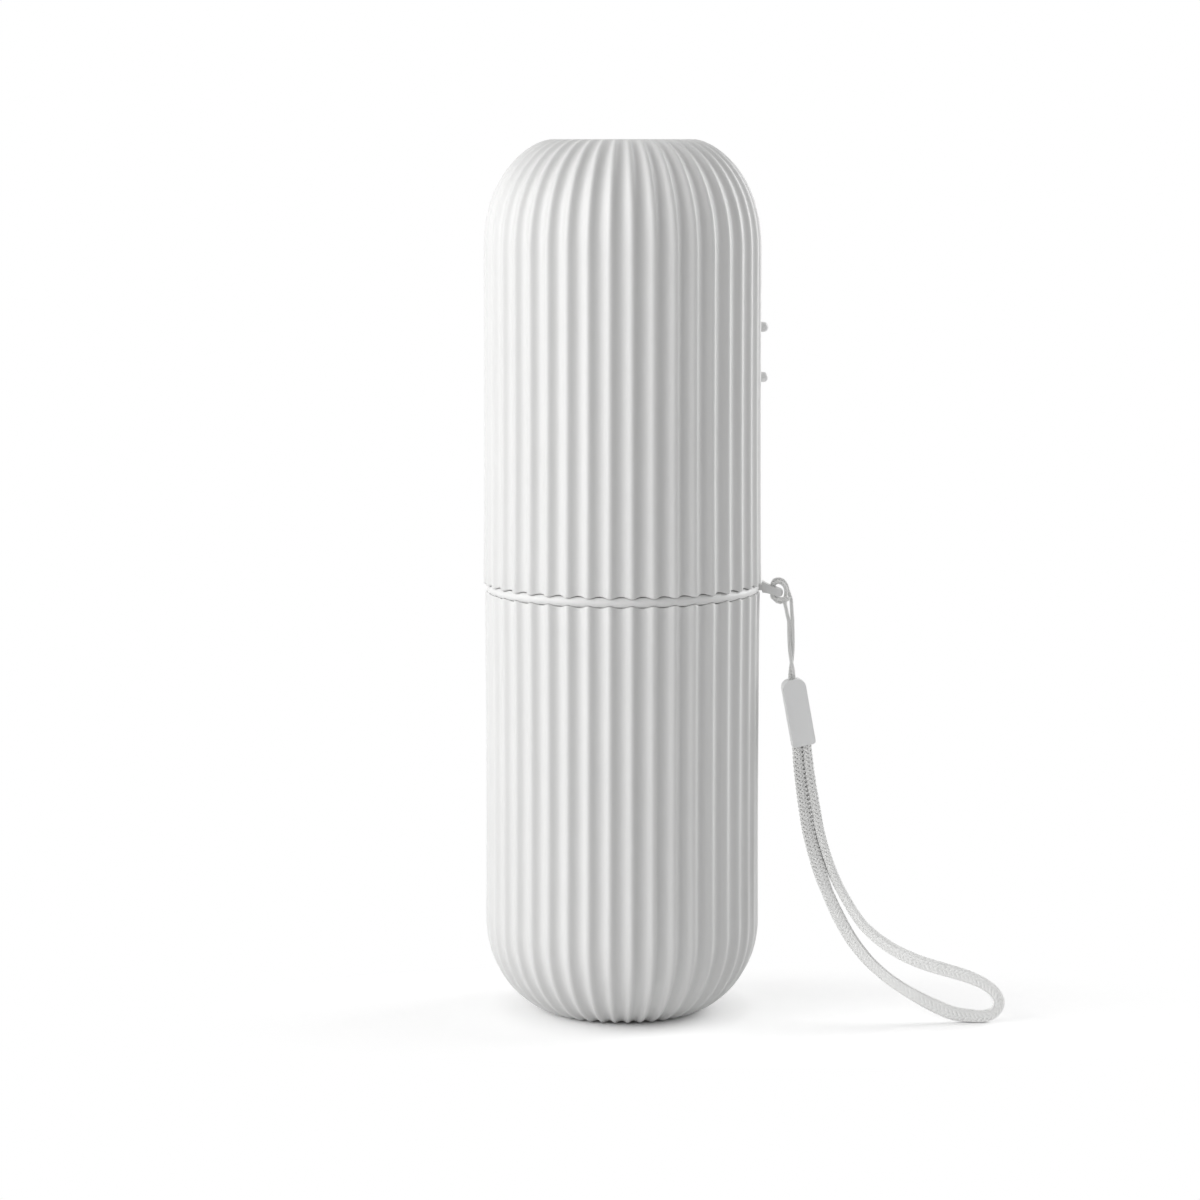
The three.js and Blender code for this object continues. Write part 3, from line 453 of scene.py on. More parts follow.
# Cords and clamp, in millimetres: places, and the points that each cord's middle goes through
CLAMP_CENTRE = (42.27, -1.0, 72.7)
CLAMP_WIDTH = 5.6
CLAMP_LENGTH = 16.2
CLAMP_THICKNESS = 4.4
CLAMP_TILT_DEG = 10.3
CLAMP_TURN_DEG = 6
CORD_SINK = 1.6
HITCH_ROUTE = [
    (39.55, -0.5, 96.2), (39.3, -0.55, 97.6), (39.0, -0.6, 98.9), (38.95, -0.6, 100.0),
    (39.2, -0.55, 101.2), (39.2, -0.5, 102.3), (38.75, -0.5, 103.3), (38.0, -0.5, 103.9),
    (37.2, -0.5, 104.05), (36.45, -0.5, 103.6), (36.1, -0.5, 102.6), (36.05, -0.55, 101.5),
    (36.3, -0.95, 100.5), (36.9, -1.35, 100.25), (37.9, -1.75, 100.15), (38.8, -1.65, 100.2),
    (39.7, -1.2, 100.2), (39.95, -0.45, 100.1), (39.65, 0.3, 99.8), (38.9, 0.75, 99.35),
    (37.9, 0.85, 99.05), (37.1, 0.8, 99.3), (36.5, 0.7, 99.85), (35.9, 0.6, 100.5), (36.05, 0.52, 101.4),
    (36.1, 0.5, 102.5), (35.95, 0.5, 103.45), (36.45, 0.5, 104.35), (37.35, 0.5, 104.65),
    (38.35, 0.5, 104.4), (39.05, 0.5, 103.75), (39.45, 0.5, 102.9), (39.75, 0.5, 101.9), (40.2, 0.5, 100.7),
    (40.5, 0.5, 99.6), (40.62, 0.45, 98.0), (40.72, 0.35, 96.3),
]
TWIST_TOP = (40.4, 0, 94.7)
TWIST_RADIUS = 0.46
TWIST_POWER = 2.3
TWIST_STEPS = 7
STRAP_ROUTE = [
    (42.02, -1.0, 64.2), (42.39, -1.2, 59.7), (42.97, -1.8, 54.9), (43.67, -2.6, 50.0), (44.65, -3.6, 44.3),
    (46.0, -4.7, 39.2), (47.7, -6.0, 33.9), (49.75, -7.3, 29.0), (52.2, -8.9, 23.9), (55.15, -10.6, 19.0),
    (59.0, -12.4, 14.35), (63.1, -13.8, 10.8), (67.0, -14.8, 8.2), (71.0, -15.4, 5.95), (75.0, -15.6, 3.95),
    (79.0, -15.7, 2.35), (83.0, -15.7, 1.7), (86.5, -15.7, 1.6), (89.0, -15.6, 2.6), (90.06, -15.5, 4.8),
    (89.2, -15.3, 7.05), (86.9, -15.1, 9.05), (83.5, -14.9, 10.7), (79.8, -14.6, 11.85),
    (76.0, -14.2, 12.88), (72.3, -13.7, 13.9), (68.6, -13.0, 15.27), (64.9, -12.0, 17.0),
    (61.2, -10.8, 19.4), (57.5, -9.3, 22.75), (53.78, -7.6, 28.3), (51.0, -6.1, 33.6), (49.0, -4.8, 39.0),
    (47.55, -3.7, 44.2), (46.5, -2.7, 50.0), (45.65, -1.9, 54.9), (44.95, -1.3, 59.7), (44.4, -1.0, 64.6),
]
STRAP_LOOK_WIDTHS = [
    # at the points of its route
    2.4, 2.45, 2.55, 2.66, 2.75, 2.85, 2.95, 2.98, 3.15, 3.05, 2.85, 2.72, 2.82, 3.07, 3.4, 3.45, 3.3, 3.1,
    2.85, 2.85, 2.8, 2.82, 3.1, 3.3, 3.43, 3.46, 3.42, 3.2, 3.0, 2.89, 2.8, 2.65, 2.6, 2.6, 2.6, 2.55, 2.45,
    2.4,
]


CURVE_POINTS = 24


def smooth_route(points, step):
    """A centripetal Catmull-Rom curve through the points, sampled evenly, and its length."""
    pts = [np.array(p, float) for p in points]
    pts = [2 * pts[0] - pts[1]] + pts + [2 * pts[-1] - pts[-2]]
    dense = []
    for i in range(1, len(pts) - 2):
        p0, p1, p2, p3 = pts[i - 1:i + 3]
        t1 = np.linalg.norm(p1 - p0) ** 0.5
        t2 = t1 + np.linalg.norm(p2 - p1) ** 0.5
        t3 = t2 + np.linalg.norm(p3 - p2) ** 0.5
        for t in np.linspace(t1, t2, CURVE_POINTS, endpoint=False):
            a1 = (t1 - t) / t1 * p0 + t / t1 * p1
            a2 = (t2 - t) / (t2 - t1) * p1 + (t - t1) / (t2 - t1) * p2
            a3 = (t3 - t) / (t3 - t2) * p2 + (t - t2) / (t3 - t2) * p3
            b1 = (t2 - t) / t2 * a1 + t / t2 * a2
            b2 = (t3 - t) / (t3 - t1) * a2 + (t - t1) / (t3 - t1) * a3
            dense.append((t2 - t) / (t2 - t1) * b1 + (t - t1) / (t2 - t1) * b2)
    dense.append(pts[-2])
    dense = np.array(dense)
    along = lengths_along(dense)
    even = np.linspace(0, along[-1], int(round(along[-1] / step)) + 1)
    return np.stack([np.interp(even, along, dense[:, k]) for k in range(3)], axis=1), along[-1]


def lengths_along(path):
    return np.concatenate([[0], np.cumsum(np.linalg.norm(np.diff(path, axis=0), axis=1))])


def unit(vectors):
    return vectors / np.linalg.norm(vectors, axis=1)[:, None]


def carried_sides(path, first):
    """Side and up vectors along a path, turned as little as possible."""
    side = np.zeros_like(path)
    current = np.array(first, float)
    tangent = unit(np.gradient(path, axis=0))
    for i, t in enumerate(tangent):
        current = current - t * current.dot(t)
        current /= np.linalg.norm(current)
        side[i] = current
    return side, np.cross(tangent, side)


def section_of(square):
    """A function for places round a section of half sizes 1, from oval (squareness 0) to square (1)."""
    turn = np.linspace(0, 2 * math.pi, SECTION_POINTS)
    cosine, sine = np.cos(turn), np.sin(turn)
    box = [np.sign(c) * np.abs(c) ** (2 / square) for c in (cosine, sine)]
    edge = lengths_along(np.column_stack([SECTION_STRETCH * box[0], box[1]]))

    def places(share, squareness):
        at = np.mod(share, 1)
        return [(np.interp(at, edge / edge[-1], oval) * (1 - squareness)
                 + np.interp(at, edge / edge[-1], c) * squareness)[..., None]
                for oval, c in zip((cosine, sine), box)]
    return places


def tube_rings(centres, outward, wide, thick, sides):
    """Oval rings along a line of centres; `outward` is the way of their thickness."""
    tangent = unit(np.gradient(centres, axis=0))
    outward = unit(outward - tangent * np.sum(outward * tangent, axis=1)[:, None])
    across = np.cross(tangent, outward) * wide[:, None]
    turn = np.linspace(0, 2 * math.pi, sides, endpoint=False)[None, :, None]
    outward = outward * thick[:, None]
    return centres[:, None] + np.cos(turn) * across[:, None] + np.sin(turn) * outward[:, None]


def braid(name, path, form, carriers, lay, sides=8, square=2, welts=()):
    """A braid of flat yarns, each over two and under two, and its core.

    form has for each point of the path the half width and half thickness of the layer that the yarns
    run in, its squareness and turn, the half width and half thickness of a yarn, how far it swings
    out and in, and how far welts show: straight yarns that lie on the braid, at shares of its edge.
    lay is the length of one turn of a yarn.
    """
    wide, thick, squareness, roll, yarn_wide, yarn_thick, weave, welt = np.array(form, float)
    side, up = carried_sides(path, (0, 1, 0))
    cosine, sine = np.cos(roll)[:, None], np.sin(roll)[:, None]
    side, up = side * cosine + up * sine, up * cosine - side * sine
    across, deep = wide[:, None], thick[:, None]
    power = 1 + squareness[:, None] * (square - 2)
    along = lengths_along(path)
    section = section_of(square)
    half = carriers // 2
    lines = []
    for carrier in range(carriers):
        way = 1 if carrier < half else -1
        place = carrier % half
        crossing = 2 * place + way * along / lay * carriers
        swing = way * weave * np.cos(math.pi / 2 * (crossing - 0.5))
        lines.append((way * along / lay + place / half, swing, yarn_wide, yarn_thick))
    for share in welts:
        swing = (weave + yarn_thick) * (2 * welt - 1)
        lines.append((np.full_like(welt, share), swing, np.full_like(welt, WELT), np.full_like(welt, WELT)))
    vertices, faces = [], []
    for shares, swing, *size in lines:
        u, v = section(shares, squareness)
        slope_u = np.sign(u) * np.abs(u) ** power / across
        slope_v = np.sign(v) * np.abs(v) ** power / deep
        outward = unit(slope_u * side + slope_v * up)
        centres = path + u * across * side + v * deep * up + swing[:, None] * outward
        rings = tube_rings(centres, outward, *size, sides)
        more_vertices, more_faces = capped_stack(rings, sum(map(len, vertices)))
        vertices.append(more_vertices)
        faces += more_faces
    shares = np.linspace(0, 1, 4 * sides, endpoint=False)[:, None]
    u, v = (c.transpose(1, 0, 2) for c in section(shares, squareness))
    rings = path[:, None] + (across - weave[:, None])[:, None] * u * side[:, None]
    rings = rings + (deep - weave[:, None])[:, None] * v * up[:, None]
    core = ring_stack(name + "_core", rings)
    return face_outward(new_object(name, np.vstack(vertices), faces)), core


clamp_turn = (
    Matrix.Rotation(math.radians(-CLAMP_TILT_DEG), 4, "Y")
    @ Matrix.Rotation(math.radians(CLAMP_TURN_DEG), 4, "Z")
)


def on_clamp_axis(along):
    """A point below the middle of the clamp, along its length."""
    return np.array(CLAMP_CENTRE) + along * np.array(clamp_turn @ Vector((0, 0, -1)))


def twisted_leg(side):
    """One leg of the string, from the hitch down to the clamp, half a turn round the other."""
    top = np.array(TWIST_TOP, float)
    foot = on_clamp_axis(-CLAMP_LENGTH / 2 - GAP)
    points = []
    for share in np.linspace(0, 1, TWIST_STEPS + 1):
        turn = share ** TWIST_POWER * math.pi
        swing = side * TWIST_RADIUS * np.array([math.cos(turn), math.sin(turn), 0])
        points.append(top + (foot - top) * share + swing)
    points.append(points[-1] + on_clamp_axis(CORD_SINK + GAP) - on_clamp_axis(0))
    return points


# Braids, in millimetres: half sizes of the yarns' layer and of a yarn, its swing, the length of its turn
# and the distance between points of the path
SECTION_STRETCH = 2
SECTION_POINTS = 1441
WELT = 0.13
STRING_STEP = 0.12
STRING_CARRIERS = 8
STRING_OVAL = (0.32, 0.32)
STRING_YARN = (0.15, 0.1)
STRING_WEAVE = 0.07
STRING_LAY = 2.9
STRAP_STEP = 0.15
STRAP_CARRIERS = 12
STRAP_LAY = 6.4
STRAP_SQUARE = 2.8
STRAP_WELTS = (0.09, 0.41, 0.59, 0.91)
STRANDS_PART = (30, 34)
STRAND_SHIFT = 0.15
STRAND_SPREAD = 0.17
STRAP_FORM = [
    # share of the length, half thickness of the layer, squareness, roll in degrees, half width and
    # half thickness of a yarn, swing of a yarn, how far the welts show (0 to 1)
    (0, 0.85, 0, -104, 0.29, 0.18, 0.14, 0), (0.1, 0.8, 0, -102, 0.3, 0.17, 0.13, 0),
    (0.2, 0.7, 0.4, -90, 0.38, 0.15, 0.08, 0), (0.3, 0.6, 1, -74, 0.44, 0.12, 0.03, 1),
    (0.5, 0.58, 1, -70, 0.44, 0.12, 0.03, 1), (0.6, 0.58, 1, -100, 0.44, 0.12, 0.03, 1),
    (0.7, 0.6, 1, -115, 0.44, 0.12, 0.03, 1), (0.82, 0.7, 0.4, -122, 0.39, 0.14, 0.08, 0),
    (1, 0.85, 0, -120, 0.29, 0.18, 0.15, 0),
]


def add_string():
    route = twisted_leg(-1)[::-1] + HITCH_ROUTE + twisted_leg(1)
    path, length = smooth_route(route, STRING_STEP)
    form = [np.full(len(path), value) for value in (*STRING_OVAL, 0, 0, *STRING_YARN, STRING_WEAVE, 0)]
    obj, core = braid("hitch_string_braid", path, form, STRING_CARRIERS, STRING_LAY, sides=6)
    finish_piece(obj, "string_cord", "ring", "hitch_string")
    finish_piece(core, "string_cord", "ring", "hitch_string")
    return obj, core, path, length


def add_strap():
    sink = on_clamp_axis(-CORD_SINK - GAP) - on_clamp_axis(0)
    ends = [np.array(STRAP_ROUTE[k]) + sink for k in (0, -1)]
    path, length = smooth_route([ends[0]] + STRAP_ROUTE + [ends[1]], STRAP_STEP)
    shares = np.linspace(0, 1, len(path))
    table = np.array(STRAP_FORM)
    thick, square, roll, *yarn, weave, welt = (np.interp(shares, table[:, 0], c) for c in table[:, 1:].T)
    nearest = [np.argmin(np.linalg.norm(path - np.array(p), axis=1)) for p in STRAP_ROUTE]
    side_by_side = np.interp(path[:, 2], STRANDS_PART, (0, 1))
    wide = np.interp(np.arange(len(path)), nearest, STRAP_LOOK_WIDTHS) / 2 - weave - yarn[1]
    wide += STRAND_SPREAD * side_by_side
    path[:, 0] += STRAND_SHIFT * side_by_side * (shares < 0.5)
    form = (wide, thick, square, np.radians(roll), *yarn, weave, welt)
    obj, core = braid("wrist_strap_braid", path, form, STRAP_CARRIERS, STRAP_LAY, square=STRAP_SQUARE,
                      welts=STRAP_WELTS)
    finish_piece(obj, "strap_braid", "ring", "wrist_strap")
    finish_piece(core, "strap_braid", "ring", "wrist_strap")
    return obj, core, path, length


CLAMP_TOP_ROUND = 2.0
CLAMP_FOOT_ROUND = 0.8
CLAMP_BEVEL = 0.5
CLAMP_SOFT_BEVEL = 0.95
CLAMP_VOXEL = 0.12
STRING_HOLE = (1.25, 0.8)
STRAP_HOLE = (2.6, 1.35)


def clamp_outline():
    """The clamp seen from the front: round at the top and at one corner of its foot."""
    side, top = CLAMP_WIDTH / 2, CLAMP_LENGTH / 2
    corner, foot = CLAMP_TOP_ROUND, CLAMP_FOOT_ROUND
    outline = [(-side, -top)]
    outline += arc((side - foot, foot - top), foot, -90, 0, steps=6)
    outline += arc((side - corner, top - corner), corner, 0, 90, steps=10)
    outline += arc((corner - side, top - corner), corner, 90, 180, steps=10)
    return outline


def bevel_round_faces(obj):
    """Bevels the edges round the front and back, wider down the side that faces away from the case."""
    mesh = bmesh.new()
    mesh.from_mesh(obj.data)
    weight = mesh.edges.layers.float.new("bevel_weight_edge")
    for edge in mesh.edges:
        low, high = (v.co for v in edge.verts)
        if abs(low.y - high.y) < MM * GAP:
            outer = min(low.x, high.x) > (CLAMP_WIDTH / 2 - GAP) * MM
            edge[weight] = 1.0 if outer else CLAMP_BEVEL / CLAMP_SOFT_BEVEL
    mesh.to_mesh(obj.data)
    mesh.free()
    modifier = obj.modifiers.new("edges", "BEVEL")
    modifier.width = CLAMP_SOFT_BEVEL * MM
    modifier.segments = 5
    modifier.limit_method = "WEIGHT"
    return apply_modifiers(obj)


def add_clamp():
    """The moulded clamp, with a hole that the string goes into and one that the strap comes out of."""
    clamp = prism("strap_clamp_moulded", clamp_outline(), CLAMP_THICKNESS, lambda u, v, w: (u, w, v))
    bevel_round_faces(clamp)
    for way, (wide, thick) in ((1, STRING_HOLE), (-1, STRAP_HOLE)):
        outline = circle((0, 0), (wide, thick), 24)
        end = way * CLAMP_LENGTH / 2
        hole = prism("hole", outline, 2 * (CORD_SINK + GAP), lambda u, v, w: (u, v, w + end))
        combine(clamp, hole, "DIFFERENCE")
    melt(clamp, CLAMP_VOXEL, passes=3)
    clamp.data.transform(Matrix.Translation(Vector(CLAMP_CENTRE) * MM) @ clamp_turn)
    return finish_piece(clamp, "clamp_plastic", "ring", "strap_clamp")


add_camera()
string, string_core, string_path, string_length = add_string()
strap, strap_core, strap_path, strap_length = add_strap()
clamp = add_clamp()


# Case
POINTS_PER_RIB = 18
SHOULDER_STEPS = 44
WALL_STEPS = 14
SEAT_STEPS = 4
ROUND_STEPS = 6
BOWL_STEPS = 15
FLAT_SHARES = (0.35, 0.7, 1)
SMOOTH_SEGMENTS = 360
BUTTON_HEIGHTS = {"upper_button": 165.1, "lower_button": 153.2}
BUTTON_RADIUS = 1.2
BUTTON_HOLE_DEPTH = CASE_RADIUS - BORE + 4


def groove_share(step):
    """Depth of the groove across one rib: a narrow round ridge meets a wide shallow valley."""
    from_crest = np.minimum(step, 1 - step)
    half_ridge = RIDGE_SHARE / 2
    half_valley = 0.5 - half_ridge
    ridge = RIDGE_SHARE * (from_crest / half_ridge) ** 2
    valley = 1 - (1 - RIDGE_SHARE) * ((0.5 - from_crest) / half_valley) ** 2
    return np.where(from_crest < half_ridge, ridge, valley)


def shoulder_point(share, radius, flat, start, rise, power):
    """A point of the rounding from the wall (share 0) to the flat end (share 1)."""
    turn = share * math.pi / 2
    inward = 0.0 if share >= 1 else math.cos(turn) ** power[0]
    return flat + (radius - flat) * inward, start + rise * math.sin(turn) ** power[1]


def mouth_rows(half):
    """Rows of a shell's rim, from its seat over its round lip to its outside."""
    mouth = CASE_RADIUS + half["swell"](0)
    lift = RIM_VALLEY - RIM_TIP
    lip = mouth - RIM_ROUND
    rows = []
    for share in np.linspace(0, 1, SEAT_STEPS + 1)[:-1]:
        radius = SEAT_RADIUS + (lip - SEAT_RADIUS) * share
        rows.append((radius, SEAT_LIFT + (RIM_TIP - SEAT_LIFT) * share, RIB_DEPTH * share, 0, lift * share))
    for radius, height in arc((lip, RIM_TIP + RIM_ROUND), RIM_ROUND, -90, 0, ROUND_STEPS):
        rows.append((radius, height, RIB_DEPTH, 0, lift))
    return rows


def outside_rows(half):
    """Rows of a shell's outside: radius, height, depth of groove inward, depth downward and lift."""
    straight = half["length"] - half["shoulder"]
    lift = RIM_VALLEY - RIM_TIP
    rows = mouth_rows(half)
    first = RIM_TIP + RIM_ROUND
    for share in np.linspace(0, 1, WALL_STEPS + 1)[1:]:
        height = first + (straight - first) * share
        fall = lift * max(0.0, 1 - share * WALL_STEPS / 2)
        rows.append((CASE_RADIUS + half["swell"](height / straight), height, RIB_DEPTH, 0, fall))
    for share in np.linspace(0, 1, SHOULDER_STEPS + 1)[1:]:
        radius, height = shoulder_point(share, CASE_RADIUS, half["flat"], straight, half["shoulder"],
                                        half["round"])
        wide = max(0.0, (radius - half["flat"]) / (CASE_RADIUS - half["flat"]))
        depth = half["rib_end"] + (RIB_DEPTH - half["rib_end"]) * wide ** FADE_SHARE
        lean = share * math.pi / 2
        rows.append((radius, height, depth * math.cos(lean), depth * math.sin(lean), 0))
    for share in FLAT_SHARES:
        keep = half["rib_end"] * (1 - share) ** 2
        rows.append((half["flat"] - FLAT_MARGIN * share, half["length"], 0, keep, 0))
    rows.append((half["flat"] / 2, half["length"], 0, 0, 0))
    return rows


def bowl(half, inset):
    """The inside of a half from its wall to its flat end, moved in all round."""
    start = half["length"] - half["shoulder"] - inset
    flat = half["flat"] - half["end"] / 2 - inset
    rise = half["shoulder"] - half["end"]
    return [shoulder_point(share, BORE - inset, flat, start, rise, half["round"])
            for share in np.linspace(0, 1, BOWL_STEPS)]


def inside_rows(half):
    """Rows of a shell's plain inside, from its closed end to its mouth."""
    curve = bowl(half, 0)[::-1]
    rows = [(curve[0][0] / 2, curve[0][1])] + curve
    rows += [(BORE, curve[-1][1] / 2), (BORE, SEAT_LIFT + 2 * GAP)]
    rows += arc((BORE + GAP, SEAT_LIFT + GAP), GAP, 180, 270, steps=4)
    rows += [(SEAT_RADIUS - GAP, SEAT_LIFT)]
    return [(radius, height, 0, 0, 0) for radius, height in rows]


def fluted_shell(name, half):
    rib = np.arange(RIB_COUNT)[:, None]
    step = np.arange(POINTS_PER_RIB)[None, :] / POINTS_PER_RIB
    angle = ((rib + 0.5 + step) * 2 * math.pi / RIB_COUNT).ravel()
    groove = np.broadcast_to(groove_share(step), (RIB_COUNT, POINTS_PER_RIB)).ravel()
    rings = []
    for radius, height, inward, down, lift in inside_rows(half) + outside_rows(half):
        local = radius - groove * inward
        rise = height + groove * (lift - down)
        place = RING_HEIGHT + half["up"] * rise
        rings.append(np.stack([local * np.cos(angle), local * np.sin(angle), place], axis=1))
    return ring_stack(name, np.array(rings))


def add_shells():
    cap = fluted_shell("cap_fluted", CAP_HALF)
    for height in BUTTON_HEIGHTS.values():
        ring = circle((0, height), BUTTON_RADIUS + GAP, 45)
        hole = prism("hole", ring, BUTTON_HOLE_DEPTH, lambda u, v, w: (w + CASE_RADIUS, u, v))
        combine(cap, hole, "DIFFERENCE")
    finish_piece(keep_corners(cap, angle_deg=60), "case_plastic", "cap", "cap_shell")
    body = fluted_shell("body_fluted", BODY_HALF)
    finish_piece(body, "case_plastic", "body", "body_shell")


BEAD_ROUND = 1.2
BEAD_INSET = 0.28
BEAD_CENTRE = CASE_RADIUS - BEAD_INSET - BEAD_ROUND
BEAD_EDGE = 0.2
LUG_NECK = (1.7, 0.72)
LUG_ROOT = (1.7, 1.3)
LUG_HALF_HEIGHT = 0.95
LUG_TAPER = 2.4
LUG_REACH = 4.87
LUG_DROOP_DEG = 18
LUG_TIP_HALF_WIDTH = 2.15
LUG_HEAD_DEG = 112
LUG_EYE_INSET = 2.3
LUG_EYE = (0.8, 1.35)
LUG_VOXEL = 0.075
LUG_START = CASE_RADIUS + CAP_FLARE + GAP
LUG_END = LUG_START + LUG_REACH


def add_ring():
    outline = arc((BEAD_CENTRE, RING_HEIGHT), BEAD_ROUND, -90, 90, steps=20)
    inner = BORE + BEAD_EDGE
    edge = BEAD_ROUND - BEAD_EDGE
    outline += arc((inner, RING_HEIGHT + edge), BEAD_EDGE, 90, 180, steps=3)
    outline += arc((inner, RING_HEIGHT - edge), BEAD_EDGE, 180, 270, steps=3)
    ring = revolve("strap_ring_bead", outline, SMOOTH_SEGMENTS, closed=True)
    finish_piece(ring, "ring_plastic", "ring", "strap_ring")


def lug_side():
    """The lug seen from the front: thick at its root, then an even bar with a round end."""
    droop = math.radians(LUG_DROOP_DEG)
    length = LUG_REACH / math.cos(droop)
    flank = [(-LUG_ROOT[1], LUG_ROOT[1])]
    for share in np.linspace(0, 1, 8):
        height = LUG_HALF_HEIGHT + (LUG_ROOT[1] - LUG_HALF_HEIGHT) * (1 - share) ** 2
        flank.append((LUG_TAPER * share, height))
    outline = [(u, -v) for u, v in flank]
    outline += arc((length - LUG_HALF_HEIGHT, 0), LUG_HALF_HEIGHT, -90, 90, steps=12)
    outline += flank[::-1]
    turn = Matrix.Translation((LUG_START, 0, RING_HEIGHT)) @ Matrix.Rotation(droop, 4, "Y")
    return prism("lug", outline, 2 * LUG_TIP_HALF_WIDTH + GAP, lambda u, v, w: turn @ Vector((u, w, v)))


def lug_plan():
    """The lug seen from above: it widens to a round head with an oval eye."""
    width = LUG_ROOT[0]
    back = LUG_START - GAP / 2
    outline = [(back, width), (back, -width), (LUG_START, -width)]
    outline += arc((LUG_END - LUG_TIP_HALF_WIDTH, 0), LUG_TIP_HALF_WIDTH, -LUG_HEAD_DEG, LUG_HEAD_DEG,
                   steps=30)
    outline += [(LUG_START, width)]
    return prism("plan", outline, 2 * LUG_REACH, lambda u, v, w: (u, v, RING_HEIGHT + w))


def add_lug():
    """A drooping tab with an oval eye, on a thin neck that passes between the rims of cap and body."""
    lug = combine(lug_side(), lug_plan(), "INTERSECT")
    eye = prism("eye", circle((LUG_END - LUG_EYE_INSET, 0), LUG_EYE, 36), 2 * LUG_REACH,
                lambda u, v, w: (u, v, RING_HEIGHT + w))
    combine(lug, eye, "DIFFERENCE")
    wide, high = LUG_NECK
    neck = [(BEAD_CENTRE, -wide), (LUG_START + LUG_TAPER / 2, -wide), (LUG_START + LUG_TAPER / 2, wide),
            (BEAD_CENTRE, wide)]
    combine(lug, prism("neck", neck, 2 * high, lambda u, v, w: (u, v, RING_HEIGHT + w)), "UNION")
    melt(lug, LUG_VOXEL, passes=8)
    lug.name = "strap_ring_lug"
    finish_piece(lug, "ring_plastic", "ring", "strap_ring")


BUTTON_PROUD = 1.7
BUTTON_DOME = 1.15
BUTTON_FLANGE_RADIUS = 2.0
BUTTON_FLANGE = 0.8
BUTTON_EDGE = 0.1


def add_buttons():
    out = math.sqrt(BORE ** 2 - BUTTON_FLANGE_RADIUS ** 2) - GAP
    tip = CASE_RADIUS + BUTTON_PROUD
    flange, edge = BUTTON_FLANGE_RADIUS, BUTTON_EDGE
    for name, height in BUTTON_HEIGHTS.items():
        outline = [(flange / 2, out - BUTTON_FLANGE)]
        outline += arc((flange - edge, out - BUTTON_FLANGE + edge), edge, -90, 0, steps=3)
        outline += arc((flange - edge, out - edge), edge, 0, 90, steps=3)
        outline += [(BUTTON_RADIUS, out)]
        outline += arc((0, tip - BUTTON_DOME), (BUTTON_RADIUS, BUTTON_DOME), 0, 86, steps=14)
        piece = keep_corners(revolve(name + "_moulded", outline, segments=48))
        lie = Matrix.Rotation(math.pi / 2, 4, "Y")
        piece.data.transform(Matrix.Translation((0, 0, height * MM)) @ lie)
        finish_piece(piece, "button_plastic", name, name)


LINER_WALL = 1.8
NECK_RISE = 9.0
NECK_ROUND = 0.6
SEAL_RISE = 5.5
SEAL_HEIGHT = 1.6
SEAL_DEPTH = 0.9
SEAL_ROUND = 0.4


def add_liner():
    outer = BORE - GAP
    inner = outer - LINER_WALL
    outside = [(r, RING_HEIGHT - z) for r, z in bowl(BODY_HALF, GAP)[::-1]]
    inside = [(r, RING_HEIGHT - z) for r, z in bowl(BODY_HALF, GAP + LINER_WALL)]
    middle = RING_HEIGHT + SEAL_RISE
    groove = outer - SEAL_DEPTH - GAP
    low, high = middle - SEAL_HEIGHT / 2 - GAP, middle + SEAL_HEIGHT / 2 + GAP
    top = RING_HEIGHT + NECK_RISE
    outline = [(outside[0][0] / 2, outside[0][1])] + outside
    outline += [(outer, low), (groove, low), (groove, high), (outer, high)]
    outline += arc((outer - NECK_ROUND, top - NECK_ROUND), NECK_ROUND, 0, 90, steps=6)
    outline += arc((inner + NECK_ROUND, top - NECK_ROUND), NECK_ROUND, 90, 180, steps=5)
    outline += inside + [(inside[-1][0] / 2, inside[-1][1])]
    tub = keep_corners(revolve("liner_tub", outline, SMOOTH_SEGMENTS // 2))
    finish_piece(tub, "liner_plastic", "body", "body_liner")


def add_seal():
    middle = RING_HEIGHT + SEAL_RISE
    outer = BORE - GAP
    inner = outer - SEAL_DEPTH
    low, high = middle - SEAL_HEIGHT / 2, middle + SEAL_HEIGHT / 2
    outline = [(inner, low), (outer - SEAL_ROUND, low)]
    outline += arc((outer - SEAL_ROUND, middle), SEAL_ROUND, -90, 90, steps=10)
    outline += [(outer - SEAL_ROUND, high), (inner, high)]
    seal = keep_corners(revolve("neck_seal_ring", outline, SMOOTH_SEGMENTS // 2, closed=True), angle_deg=50)
    finish_piece(seal, "seal_silicone", "body", "neck_seal")


EDGE_ROUND = 0.14
EDGE_ANGLE_DEG = 40
SAME_PLANE_DEG = 1
SAME_POINT_M = 1e-7
MADE_AFRESH = ("body_shell", "body_liner", "neck_seal", "strap_ring", "hitch_string", "strap_clamp",
               "wrist_strap", "cap_shell", "upper_button", "lower_button")


